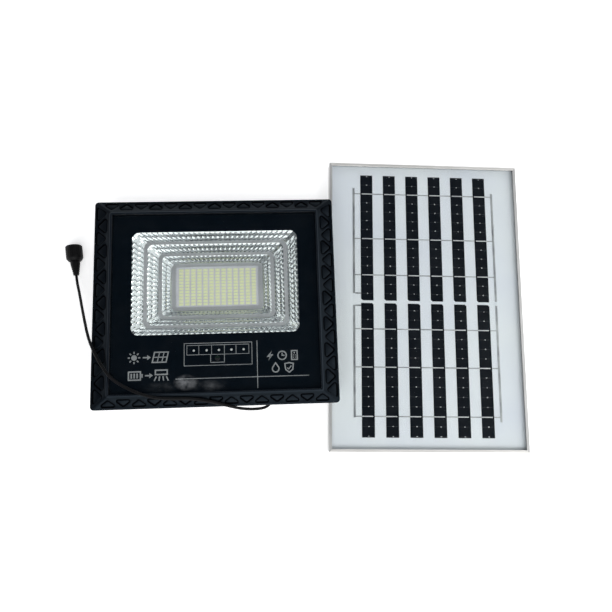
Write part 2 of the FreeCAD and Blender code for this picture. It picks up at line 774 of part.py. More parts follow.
def make_housing(board_screws):
    body = new_body("RearHousing")
    corner = "housing_corner"
    loft(
        body,
        rounded_sketch(body, "base_width", "base_height", corner, "base_level"),
        rounded_sketch(body, "housing_width", "housing_height", corner, "chamfer_top"),
    )
    pad(body, rounded_sketch(body, "housing_width", "housing_height", corner, "chamfer_top"),
        "lip_level - chamfer_top")
    pad(body, rounded_sketch(body, "lamp_width - 2 * lip_inset", "lamp_height - 2 * lip_inset",
                             "lamp_corner", "lip_level"), "bezel_foot - lip_level")
    inner = ("housing_width - 2 * housing_wall", "housing_height - 2 * housing_wall")
    floor = ("base_width - 2 * housing_wall", "base_height - 2 * housing_wall")
    inner_corner = "housing_corner - housing_wall"
    pocket(body, rounded_sketch(body, *inner, inner_corner, "bezel_foot"),
           "bezel_foot - inner_chamfer_top")
    loft(
        body,
        rounded_sketch(body, *inner, inner_corner, "inner_chamfer_top"),
        rounded_sketch(body, *floor, inner_corner, "floor_level"),
        "SubtractiveLoft",
    )
    groove = rounded_sketch(body, "seal_width + 2 * seal_section",
                            "seal_height + 2 * seal_section", "housing_corner", "bezel_foot")
    draw_rounded(groove, "seal_width", "seal_height", "housing_corner - seal_section")
    pocket(body, groove, "seal_depth")
    pad(body, rounded_sketch(body, "pad_width", "pad_height", "4", "0"), "base_level")
    extras = []
    for index in range(15):
        extras.append(block("fin_thickness", "fin_length", "base_level + 0.5 - fin_foot",
                            "%d * fin_pitch" % (index - 7), 0, "fin_foot"))
    sink_base = "board_top - board_thickness - sink_thickness"
    for x, y in SINK_SCREWS:
        extras.append(rod("4", "%s - floor_level + 0.1" % sink_base, x, y, "floor_level - 0.1"))
    holes = []
    for x, y in SINK_SCREWS:
        holes.append(rod("screw_shank", "4.5", x, y, "%s - 4.5" % sink_base))
    for side, turn in OUTWARDS:
        extras.append(rod("10", "boss_face - boss_back", "%d * boss_back" % side, 0,
                          "pivot_level", turn))
        holes.append(rod("insert_radius", "boss_face - insert_back", "%d * insert_back" % side,
                         0, "pivot_level", turn))
    for x, y in HOUSING_SCREWS:
        holes.append(rod("screw_shank + 0.15", "4", x, y, "lip_level - 1"))
    holes.append(rod("gland_thread", "6", "gland_x", "4 - housing_height / 2", "gland_z",
                     TOWARDS_MINUS_Y))
    holes.append(rod("vent_radius", "6", "vent_x", "4 - housing_height / 2", "gland_z",
                     TOWARDS_MINUS_Y))
    publish("rear_housing", cut(fuse(body, *extras), *holes))
    sink_screws = [fuse(rod("3", "1.8", x, y, "board_top - board_thickness"),
                        rod("screw_shank", "sink_thickness + 4", x, y, "%s - 4" % sink_base))
                   for x, y in SINK_SCREWS]
    publish("heat_sink_screws", gather(*board_screws, *sink_screws))
    seal = new_body("HousingSeal")
    ring = rounded_sketch(seal, "seal_width + 2 * seal_section",
                          "seal_height + 2 * seal_section", "housing_corner",
                          "bezel_foot - seal_depth")
    draw_rounded(ring, "seal_width", "seal_height", "housing_corner - seal_section")
    pad(seal, ring, "2 * seal_depth")
    publish("housing_seal", seal)
    screws = [screw("3", "2.2", "screw_shank",
                    "bezel_foot - lip_level + screw_length - 0.5", x, y, "lip_level")
              for x, y in HOUSING_SCREWS]
    publish("housing_screws", gather(*screws))


def make_pivots():
    bolts, washers, inserts = [], [], []
    for side, turn in OUTWARDS:
        place = (0, "pivot_level", turn)
        shank = rod("pivot_bolt", "washer_face + 1.5 - pivot_bolt_end",
                    "%d * pivot_bolt_end" % side, *place)
        head = rod("5", "4", "%d * (washer_face + 1.5)" % side, *place)
        socket = hexagon("2.9", "2.5", "%d * (washer_face + 3)" % side, *place)
        bolts.append(cut(fuse(shank, head), socket))
        disc = rod("6.4", "1.5", "%d * washer_face" % side, *place)
        hole = rod("pivot_bolt", "1.5", "%d * washer_face" % side, *place)
        washers.append(cut(disc, hole))
        sleeve = rod("insert_radius", "boss_face - insert_back", "%d * insert_back" % side,
                     *place)
        bore = rod("pivot_bolt", "boss_face - insert_back", "%d * insert_back" % side, *place)
        inserts.append(cut(sleeve, bore))
    publish("pivot_bolts", gather(*bolts))
    publish("pivot_washers", gather(*washers))
    publish("pivot_inserts", gather(*inserts))


def make_bracket():
    """A U of flat steel whose arms turn on the pivots, lying behind the lamp's top edge."""
    body = new_body("Bracket")
    sketch = new_sketch(body, z="pivot_level - bracket_width / 2")
    outer = "(arm_inner + bracket_thickness)"
    inner_reach = "(bracket_reach - bracket_thickness)"
    draw_polygon(sketch, [
        ("-" + outer, "1"), ("-arm_inner", "1"), ("-arm_inner", inner_reach),
        ("arm_inner", inner_reach), ("arm_inner", "1"), (outer, "1"),
        (outer, "bracket_reach"), ("-" + outer, "bracket_reach"),
    ])
    bar = pad(body, sketch, "bracket_width")
    doc.recompute()
    for reach, radius in (("bracket_reach", "bracket_bend"),
                          (inner_reach, "bracket_bend - bracket_thickness")):
        corners = []
        for number, edge in enumerate(bar.Shape.Edges, start=1):
            start, end = edge.Vertexes[0].Point, edge.Vertexes[-1].Point
            upright = abs(start.z - end.z) > 1
            if upright and abs(start.y - value(reach)) < 0.01:
                corners.append("Edge%d" % number)
        bend = body.newObject("PartDesign::Fillet", "Bend")
        bend.Base = (bar, corners)
        bind(bend, Radius=radius)
        doc.recompute()
        bar = bend
    eyes, holes = [], []
    for side, turn in OUTWARDS:
        start = "%d * arm_inner" % side
        eyes.append(rod("bracket_width / 2", "bracket_thickness", start, 0, "pivot_level", turn))
        eyes.append(block("bracket_thickness", "2", "bracket_width",
                          "%d * (arm_inner + bracket_thickness / 2)" % side, "1",
                          "pivot_level - bracket_width / 2"))
        holes.append(rod("pivot_bolt + pivot_clearance", "bracket_thickness", start, 0,
                         "pivot_level", turn))
        slot_x = "%d * slot_centre" % side
        holes.append(block("slot_length - 2 * slot_half", "6", "2 * slot_half", slot_x,
                           "bracket_reach - 1.5", "pivot_level - slot_half"))
        for end in (-1, 1):
            holes.append(rod("slot_half", "6",
                             "%s + %d * (slot_length / 2 - slot_half)" % (slot_x, end),
                             "bracket_reach - 4.5", "pivot_level", ALONG_Y))
    holes.append(rod("bracket_bore", "6", 0, "bracket_reach - 4.5", "pivot_level", ALONG_Y))
    publish("bracket", cut(fuse(body, *eyes), *holes))


def make_gland():
    """A cable gland through the lower wall, its axis pointing along -Y."""
    seat = Placement(Vector(value("gland_x"), -value("housing_height / 2"), value("gland_z")),
                     TOWARDS_MINUS_Y)
    body = turned("GlandBody", [
        ("lead_radius", -5.8), ("gland_thread", -5.8), ("gland_thread", 9), ("3.4", 9),
        ("3.4", 4), ("lead_radius", 4),
    ])
    flange = cut(hexagon("gland_hex", "4", 0, 0, 0), rod("gland_thread - 0.5", "4", 0, 0, 0))
    publish("gland_body", fuse(body, flange), seat)
    bush = turned("GlandBush", [
        ("lead_radius", 4), ("3.4", 4), ("3.4", 11), ("2.4", 12.5), ("lead_radius", 12.5),
    ])
    publish("gland_bush", bush, seat)
    cap = turned("GlandNut", [
        ("gland_thread", 4.4), ("gland_hex - 0.4", 4.4), ("gland_hex - 0.4", 10),
        ("6.2", 12.2), ("4", 13.6), ("3", "gland_reach"), ("lead_radius", "gland_reach"),
        ("lead_radius", 12.5), ("2.4", 12.5), ("3.4", 11), ("3.4", 9), ("gland_thread", 9),
    ])
    flats = hexagon("gland_hex + 0.35", "10", 0, 0, 4.4)
    nut = doc.addObject("Part::Common", "GlandCap")
    nut.Base = cap
    nut.Tool = flats
    publish("gland_nut", nut, seat)
    ring = cut(hexagon("gland_hex", "3", 0, 0, "-housing_wall - 3"),
               rod("gland_thread", "3", 0, 0, "-housing_wall - 3"))
    publish("gland_locknut", ring, seat)
    vent_seat = Placement(Vector(value("vent_x"), -value("housing_height / 2"),
                                 value("gland_z")), TOWARDS_MINUS_Y)
    vent = turned("Vent", [
        (0, "-housing_wall - 1.5"), ("vent_radius", "-housing_wall - 1.5"),
        ("vent_radius", 0), ("vent_radius + 2.5", 0), ("vent_radius + 2.5", 2),
        ("vent_radius + 1.5", 3), (0, 3),
    ])
    publish("vent_plug", vent, vent_seat)


# ---------------------------------------------------------------- the lead and its connector


# The lead leaves the gland, climbs the lamp's lower edge, crosses the bezel and the glass
# corner, drops over the left edge and comes down to its connector on the table.
LEAD_ROUTE = [
    (62, -106, 19.5), (62, -109.6, 19.5), (60.4, -114.6, 20), (57.2, -118.8, 21.6),
    (52.6, -121.4, 24.6), (47, -122.4, 28.8), (40, -122.4, 34.2), (32, -122, 40.4),
    (24.4, -121.2, 46), (15, -118.8, 50.4), (3, -115.6, 53.2), (-10, -112.2, 54.4),
    (-27, -109.4, 54.4), (-44, -109.2, 54.4),
    (-61, -108.4, 54.6), (-76, -104.8, 54.6), (-89, -99.6, 53.2), (-100, -94.2, 51.6),
    (-109, -88.6, 52.6), (-116.2, -81.4, 54.6), (-122.8, -72.4, 54.5), (-130, -60.4, 53.4),
    (-137.2, -46.6, 51.2), (-142.9, -32.6, 45.4), (-147.6, -18.8, 38.4), (-152.5, -5, 30.8),
    (-157.4, 8.4, 22.4), (-162, 20.6, 14.6), (-166.25, 33.2, 9.8), (-167.2, 41.2, 9.8),
]
CONNECTOR_HEADING = Vector(*LEAD_ROUTE[-1]) - Vector(*LEAD_ROUTE[-2])


def make_lead():
    route = [Vector(*point) for point in LEAD_ROUTE]
    publish("lead", tube("Lead", route, value("lead_radius")))
    inside = [(62, -106, 19.5), (62, -78.2, 19.5), (62.4, -76.8, 37), (60, -58, 38.8),
              (48, -58, 38.8)]
    publish("lead_inner", tube("LeadInner", [Vector(*point) for point in inside],
                               value("lead_radius")))


def make_connector():
    turn = Rotation(Vector(0, 0, 1), CONNECTOR_HEADING)
    place = Placement(Vector(*LEAD_ROUTE[-1]), turn)
    body = turned("ConnectorBody", [
        (0, 0), ("tail_radius", 0), ("4.6", 8), ("sleeve_radius", 14),
        ("sleeve_radius", "collar_start + 2.4"), ("7", "collar_start + 2.4"),
        ("7", "collar_start + 4.5"), ("5.4", "collar_start + 5"), ("5.4", 27), (0, 27),
    ])
    grooves = [cut(rod("7", "0.9", 0, 0, height), rod(inner, "0.9", 0, 0, height))
               for height, inner in ((3, 3.3), (5.4, 3.7), (7.8, 4.1))]
    publish("connector_body", cut(body, *grooves), place)
    pins_at = [-2, 2]
    face = turned("ConnectorInsert", [(0, 27), ("5.4", 27), ("5.4", 33), (0, 33)])
    publish("connector_insert", cut(face, *[rod("0.8", "6", x, 0, 27) for x in pins_at]), place)
    pins = [rod("0.8", "7.4", x, 0, 27) for x in pins_at]
    publish("connector_pins", gather(*pins), place)
    seal = turned("ConnectorSeal", [("5.4", 24.5), ("6.6", 24.5), ("6.6", 26.1), ("5.4", 26.1)])
    publish("connector_seal", seal, place)
    collar = turned("ConnectorCollar", [
        ("sleeve_radius + 0.35", "collar_start"), ("7.4", "collar_start"),
        ("collar_radius - 0.3", "collar_start + 2.6"), ("collar_radius", "collar_start + 4"),
        ("collar_radius", "collar_end - 1"), ("collar_radius - 1", "collar_end"),
        ("collar_bore", "collar_end"), ("collar_bore", "collar_start + 2"),
        ("sleeve_radius + 0.35", "collar_start + 2"),
    ])
    grips = []
    for number in range(20):
        angle = math.radians(18 * number)
        reach = value("collar_radius") + 0.25
        grips.append(rod("0.65", "11", "%.4f" % (reach * math.cos(angle)),
                         "%.4f" % (reach * math.sin(angle)), "collar_start + 4.5"))
    publish("connector_nut", cut(collar, *grips), place)


# ---------------------------------------------------------------- the solar panel


def make_rail(name, length, heading, reach):
    """A side of the panel's frame: a mitred aluminium section with a channel for the glass."""
    body = new_body(name)
    wall, lip, flange = "rail_wall", "rail_lip", "rail_flange"
    channel = "(panel_depth - rail_wall - channel_depth)"
    section = new_sketch(body, plane="XZ_Plane")
    draw_polygon(section, [
        ("0", "0"), ("0", "panel_depth"), ("-%s" % lip, "panel_depth"),
        ("-%s" % lip, "panel_depth - %s" % wall), ("-%s" % wall, "panel_depth - %s" % wall),
        ("-%s" % wall, channel), ("-5.4", channel), ("-5.4", "%s - %s" % (channel, wall)),
        ("-%s" % wall, "%s - %s" % (channel, wall)), ("-%s" % wall, wall),
        ("-%s" % flange, wall), ("-%s" % flange, "0"),
    ])
    bar = pad(body, section, length)
    bar.Midplane = True
    mitre = new_sketch(body, z="panel_depth + 1")
    half = "(%s) / 2" % length
    for side in ("", "-"):
        draw_polygon(mitre, [
            ("1", "%s(%s + 1)" % (side, half)), ("-mitre_reach", "%s(%s + 1)" % (side, half)),
            ("-mitre_reach", "%s(%s - mitre_reach)" % (side, half)),
        ])
    pocket(body, mitre, "panel_depth + 2")
    turn = Rotation(Vector(0, 0, 1), heading)
    spot = turn.multVec(Vector(value(reach), 0, 0))
    body.Placement = Placement(spot, turn)
    return body


def make_panel():
    place = Placement(Vector(value("panel_x"), value("panel_y"), 0),
                      Rotation(Vector(0, 0, 1), value("panel_yaw")))
    mounting = [(x_side, y_side) for x_side in (-1, 1) for y_side in (-1, 1)]
    for name, heading in (("right", 0), ("left", 180)):
        rail = make_rail("Rail" + name.title(), "panel_height", heading, "panel_width / 2")
        holes = []
        for x_side, y_side in mounting:
            holes.append(rod("mount_hole", "4",
                             "%d * (panel_width / 2 - mount_hole_inset)" % x_side,
                             "%d * mount_hole_y" % y_side, -1))
        publish("panel_rail_" + name, cut(rail, *holes), place)
    for name, heading in (("top", 90), ("bottom", 270)):
        rail = make_rail("Rail" + name.title(), "panel_width", heading, "panel_height / 2")
        publish("panel_rail_" + name, rail, place)
    channel = "(panel_depth - rail_wall - channel_depth)"
    keys = []
    for x_side, y_side in mounting:
        x = "%d * (panel_width / 2 - 3.4)" % x_side
        y = "%d * (panel_height / 2 - 3.4)" % y_side
        height = "%s - 2 * rail_wall - 0.4" % channel
        keys.append(fuse(
            block("4", "22", height, x, "%s - %d * 9" % (y, y_side), "rail_wall + 0.2"),
            block("22", "4", height, "%s - %d * 9" % (x, x_side), y, "rail_wall + 0.2"),
        ))
    publish("panel_corner_keys", gather(*keys), place)
    glass_base = "panel_depth - rail_wall - pane_thickness"
    pane = plate("PanelGlass", "pane_width", "pane_height", "2", glass_base, "pane_thickness")
    publish("panel_glass", pane, place)
    seal = new_body("PanelSeal")
    ring = rounded_sketch(seal, "panel_width - 2 * rail_wall", "panel_height - 2 * rail_wall",
                          "2.8", channel)
    draw_rounded(ring, "pane_width", "pane_height", "2")
    pad(seal, ring, "channel_depth")
    publish("panel_edge_seal", seal, place)
    sheet_top = "%s - 0.4" % glass_base
    publish("panel_backsheet", plate("Backsheet", "pane_width", "pane_height", "2", channel,
                                     "%s - %s" % (sheet_top, channel)), place)
    make_cells(place, glass_base)
    make_junction(place, channel)


def make_cells(place, glass_base):
    """Half-cut strips in two rows of six, with their ribbons and the two side buses."""
    base = "%s - 0.4" % glass_base
    strips, ribbons = [], []
    for row in (-1, 1):
        middle = "field_centre + %d * (strip_length + strip_gap) / 2" % row
        for column in range(6):
            x = "%.1f * strip_pitch" % (column - 2.5)
            strips.append(block("strip_width", "strip_length", "0.2", x, middle, base))
        for y in RIBBON_ROWS:
            ribbons.append(block("2 * bus_x", "ribbon_width", "0.1", 0,
                                 "field_centre + %d * %s" % (row, y), "%s + 0.2" % base))
    for side in (-1, 1):
        for row in (-1, 1):
            middle = "field_centre + %d * (strip_gap + 138) / 2" % row
            ribbons.append(block("bus_width", "134", "0.1", "%d * bus_x" % side,
                                 middle, "%s + 0.3" % base))
    publish("solar_cells", gather(*strips), place)
    publish("cell_ribbons", gather(*ribbons), place)


def make_junction(place, channel):
    """A shallow box under the backsheet where the cells' ribbons come out."""
    x, y = "junction_x", "junction_y"
    wall, foot = "junction_wall", "junction_foot + junction_lid"
    height = "%s - (%s)" % (channel, foot)
    shell = cut(
        block("junction_width", "junction_height", height, x, y, foot),
        block("junction_width - 2 * %s" % wall, "junction_height - 2 * %s" % wall,
              "%s - %s" % (height, wall), x, y, foot),
        rod("lead_radius", "6", x, "junction_y - junction_height / 2 + 3", "6",
            TOWARDS_MINUS_Y),
    )
    posts = []
    for x_side in (-1, 1):
        for y_side in (-1, 1):
            posts.append(("junction_x + %d * (junction_width / 2 - 4)" % x_side,
                          "junction_y + %d * (junction_height / 2 - 4)" % y_side))
    columns = [rod("2.6", "%s - 0.5" % height, *post, foot) for post in posts]
    grips = [rod("small_shank", "3", *post, foot) for post in posts]
    publish("junction_box", cut(fuse(shell, *columns), *grips), place)
    lid = cut(block("junction_width", "junction_height", "junction_lid", x, y, "junction_foot"),
              *[rod("small_shank", "junction_lid", *post, "junction_foot") for post in posts])
    publish("junction_lid", lid, place)
    screws = [fuse(rod("1.8", "0.8", *post, "junction_foot - 0.8"),
                   rod("small_shank", "junction_lid + 2.6", *post, "junction_foot"))
              for post in posts]
    publish("junction_screws", gather(*screws), place)
    inlet = cut(
        rod("3.4", "6", x, "junction_y - junction_height / 2", "6", TOWARDS_MINUS_Y),
        rod("lead_radius", "6", x, "junction_y - junction_height / 2", "6", TOWARDS_MINUS_Y),
    )
    publish("junction_inlet", inlet, place)
    top = "%s - %s" % (channel, wall)
    strips = [block("6", "20", "1", "junction_x + %d * 9" % side, y, "%s - 1" % top)
              for side in (-1, 1)]
    publish("junction_terminals", gather(*strips), place)
    diode = rod("1.6", "8", "junction_x - 4", "junction_y + 6", "%s - 2.6" % top, ALONG_X)
    publish("blocking_diode", gather(diode), place)


def main():
    make_bezel()
    make_glazing()
    make_reflector()
    make_bowl_screws()
    board_screws = make_light_engine()
    make_controller()
    make_battery()
    make_housing(board_screws)
    make_pivots()
    make_bracket()
    make_gland()
    make_lead()
    make_connector()
    make_panel()
    doc.recompute()
    for thing in doc.Objects:
        if {"Invalid", "Error"} & set(thing.State):
            raise RuntimeError("%s failed: %s" % (thing.Label, thing.State))
    os.makedirs("parts", exist_ok=True)
    for name, thing in nodes.items():
        shape = thing.Shape
        if shape.isNull() or not shape.isValid() or not shape.Solids:
            raise RuntimeError("%s has no valid solid" % name)
        shape.exportStep("parts/%s.step" % name)
    print("%d nodes" % len(nodes))


main()
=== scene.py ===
import itertools
import json
import math
import random

import bmesh
import bpy
from mathutils import Matrix, Vector, geometry


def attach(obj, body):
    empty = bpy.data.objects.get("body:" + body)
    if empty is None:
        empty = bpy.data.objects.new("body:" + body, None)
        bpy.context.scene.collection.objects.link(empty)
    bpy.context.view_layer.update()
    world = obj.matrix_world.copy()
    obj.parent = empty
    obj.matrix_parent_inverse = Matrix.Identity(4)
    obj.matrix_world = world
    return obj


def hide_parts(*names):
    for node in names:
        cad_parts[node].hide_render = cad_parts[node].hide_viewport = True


# Looks of a solar flood light kit that lies flat on a table: the lamp with its glass up, its
# lead and screw connector, and the separate solar panel. Shapes are given in millimetres in
# the part's own frame, or in the panel's, and are scaled to metres where a mesh is made.

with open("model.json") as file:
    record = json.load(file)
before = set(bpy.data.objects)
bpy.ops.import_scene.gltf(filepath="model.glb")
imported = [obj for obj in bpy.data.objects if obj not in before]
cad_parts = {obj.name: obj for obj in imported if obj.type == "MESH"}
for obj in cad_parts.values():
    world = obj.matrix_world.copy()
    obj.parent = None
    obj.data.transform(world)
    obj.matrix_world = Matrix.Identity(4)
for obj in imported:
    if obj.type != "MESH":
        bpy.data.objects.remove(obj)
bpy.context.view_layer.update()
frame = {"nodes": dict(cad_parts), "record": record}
nodes = frame["nodes"]
MM = 0.001


# ---------------------------------------------------------------- camera

# Where the camera is, in metres, its right and up directions, and its lens and sensor width in
# millimetres
CAMERA_PLACE = (0.06285, -0.1266, 0.72728)
CAMERA_RIGHT = (0.9981, -0.0336, 0.0526)
CAMERA_UP = (0.0241, 0.9849, 0.1716)
CAMERA_LENS = 35.68
CAMERA_SENSOR = 36


def make_camera():
    right, up = Vector(CAMERA_RIGHT), Vector(CAMERA_UP)
    turn = Matrix((right, up, right.cross(up))).transposed().to_4x4()
    data = bpy.data.cameras.new("Camera")
    data.lens = CAMERA_LENS
    data.sensor_width = CAMERA_SENSOR
    data.clip_start = 0.01
    camera = bpy.data.objects.new("Camera", data)
    camera.matrix_world = Matrix.Translation(CAMERA_PLACE) @ turn
    bpy.context.scene.collection.objects.link(camera)
    bpy.context.scene.camera = camera


make_camera()


# ---------------------------------------------------------------- materials


def link(tree, source, target):
    tree.links.new(source, target)


def coordinates(tree, stretch=(1, 1, 1), turn=0.0):
    """Object coordinates, stretched along each axis after a turn about Z."""
    place = tree.nodes.new("ShaderNodeTexCoord")
    mapping = tree.nodes.new("ShaderNodeMapping")
    mapping.inputs["Rotation"].default_value = (0, 0, turn)
    mapping.inputs["Scale"].default_value = stretch
    link(tree, place.outputs["Object"], mapping.inputs["Vector"])
    return mapping.outputs["Vector"]


def noise(tree, place, scale, detail=3.0, rough=0.55):
    texture = tree.nodes.new("ShaderNodeTexNoise")
    texture.inputs["Scale"].default_value = scale
    texture.inputs["Detail"].default_value = detail
    texture.inputs["Roughness"].default_value = rough
    link(tree, place, texture.inputs["Vector"])
    return texture.outputs["Fac"]


def ramp(tree, source, stops):
    """A colour ramp with (position, colour) stops."""
    node = tree.nodes.new("ShaderNodeValToRGB")
    elements = node.color_ramp.elements
    while len(elements) < len(stops):
        elements.new(0.5)
    for element, (position, colour) in zip(elements, stops):
        element.position = position
        element.color = (*colour, 1)
    link(tree, source, node.inputs["Fac"])
    return node.outputs["Color"]


def spread(tree, source, low, high, start=0.3, end=0.7):
    """Map the middle of a noise to a range of values."""
    node = tree.nodes.new("ShaderNodeMapRange")
    for name, number in (("From Min", start), ("From Max", end), ("To Min", low), ("To Max", high)):
        node.inputs[name].default_value = number
    link(tree, source, node.inputs["Value"])
    return node.outputs["Result"]


def calculate(tree, operation, *terms):
    node = tree.nodes.new("ShaderNodeMath")
    node.operation = operation
    for socket, term in zip(node.inputs, terms):
        if isinstance(term, (int, float)):
            socket.default_value = term
        else:
            link(tree, term, socket)
    return node.outputs["Value"]


def roughen(tree, shader, height, strength, depth):
    bump = tree.nodes.new("ShaderNodeBump")
    bump.inputs["Strength"].default_value = strength
    bump.inputs["Distance"].default_value = depth
    link(tree, height, bump.inputs["Height"])
    link(tree, bump.outputs["Normal"], shader.inputs["Normal"])


def finish(name, dark, light, rough, grain=1500, depth=0.00004, strength=0.4, blotch=25,
           metallic=0.0, stretch=(1, 1, 1), turn=0.0, **sockets):
    """A surface with blotches of colour, uneven gloss and a fine grain in relief."""
    material = bpy.data.materials.new(name)
    material.use_nodes = True
    tree = material.node_tree
    shader = tree.nodes["Principled BSDF"]
    place = coordinates(tree)
    patches = noise(tree, place, blotch)
    link(tree, ramp(tree, patches, [(0.35, dark), (0.65, light)]), shader.inputs["Base Color"])
    along = coordinates(tree, stretch, turn)
    wear = noise(tree, along, blotch * 7, 5)
    link(tree, spread(tree, wear, *rough), shader.inputs["Roughness"])
    roughen(tree, shader, noise(tree, along, grain, 2), strength, depth)
    shader.inputs["Metallic"].default_value = metallic
    for socket, number in sockets.items():
        shader.inputs[socket.replace("_", " ")].default_value = number
    return material


def clear_glass(name, dust, smudges=()):
    """Clear glass: see-through, mirroring at its surface, with a little dust.

    Each smudge is a centre, a half-length along X and Y, in millimetres, and a strength."""
    material = bpy.data.materials.new(name)
    material.use_nodes = True
    tree = material.node_tree
    gloss = tree.nodes["Principled BSDF"]
    gloss.inputs["Base Color"].default_value = (1, 1, 1, 1)
    gloss.inputs["Metallic"].default_value = 1
    place = coordinates(tree)
    link(tree, spread(tree, noise(tree, place, 30), 0.02, 0.06), gloss.inputs["Roughness"])
    clear = tree.nodes.new("ShaderNodeBsdfTransparent")
    clear.inputs["Color"].default_value = (0.985, 0.995, 0.99, 1)
    # What a surface mirrors, the same from both sides: 4%, rising towards a glancing view
    facing = tree.nodes.new("ShaderNodeLayerWeight").outputs["Facing"]
    edge = calculate(tree, "POWER", facing, 5.0)
    mirror = calculate(tree, "MULTIPLY_ADD", edge, 0.96, 0.04)
    pane = tree.nodes.new("ShaderNodeMixShader")
    link(tree, mirror, pane.inputs["Fac"])
    link(tree, clear.outputs["BSDF"], pane.inputs[1])
    link(tree, gloss.outputs["BSDF"], pane.inputs[2])
    film = spread(tree, noise(tree, place, 40, 6, 0.7), 0, dust, 0.45, 0.8)
    for (x, y), (half_x, half_y), weight in smudges:
        spot = tree.nodes.new("ShaderNodeMapping")
        spot.vector_type = "TEXTURE"
        spot.inputs["Location"].default_value = (x * MM, y * MM, 0)
        spot.inputs["Scale"].default_value = (half_x * MM, half_y * MM, 1)
        texture = tree.nodes.new("ShaderNodeTexCoord")
        link(tree, texture.outputs["Object"], spot.inputs["Vector"])
        ball = tree.nodes.new("ShaderNodeTexGradient")
        ball.gradient_type = "SPHERICAL"
        link(tree, spot.outputs["Vector"], ball.inputs["Vector"])
        streaks = spread(tree, noise(tree, place, 90, 8, 0.75), 0, weight, 0.42, 0.72)
        patch = calculate(tree, "MULTIPLY", ball.outputs["Fac"], streaks)
        film = calculate(tree, "MAXIMUM", film, patch)
    haze = tree.nodes.new("ShaderNodeBsdfDiffuse")
    haze.inputs["Color"].default_value = (0.8, 0.82, 0.85, 1)
    surface = tree.nodes.new("ShaderNodeMixShader")
    link(tree, film, surface.inputs["Fac"])
    link(tree, pane.outputs["Shader"], surface.inputs[1])
    link(tree, haze.outputs["BSDF"], surface.inputs[2])
    output = tree.nodes["Material Output"]
    link(tree, surface.outputs["Shader"], output.inputs["Surface"])
    return material


PANEL_YAW = math.radians(-2.41)
COOL = (0.62, 0.82, 1.0, 1.0)
LAMP_SMUDGES = [((-33, -91.5), (15, 9.5), 0.3), ((-6, -96), (24, 8), 0.07),
                ((-60, -96), (22, 7), 0.04)]

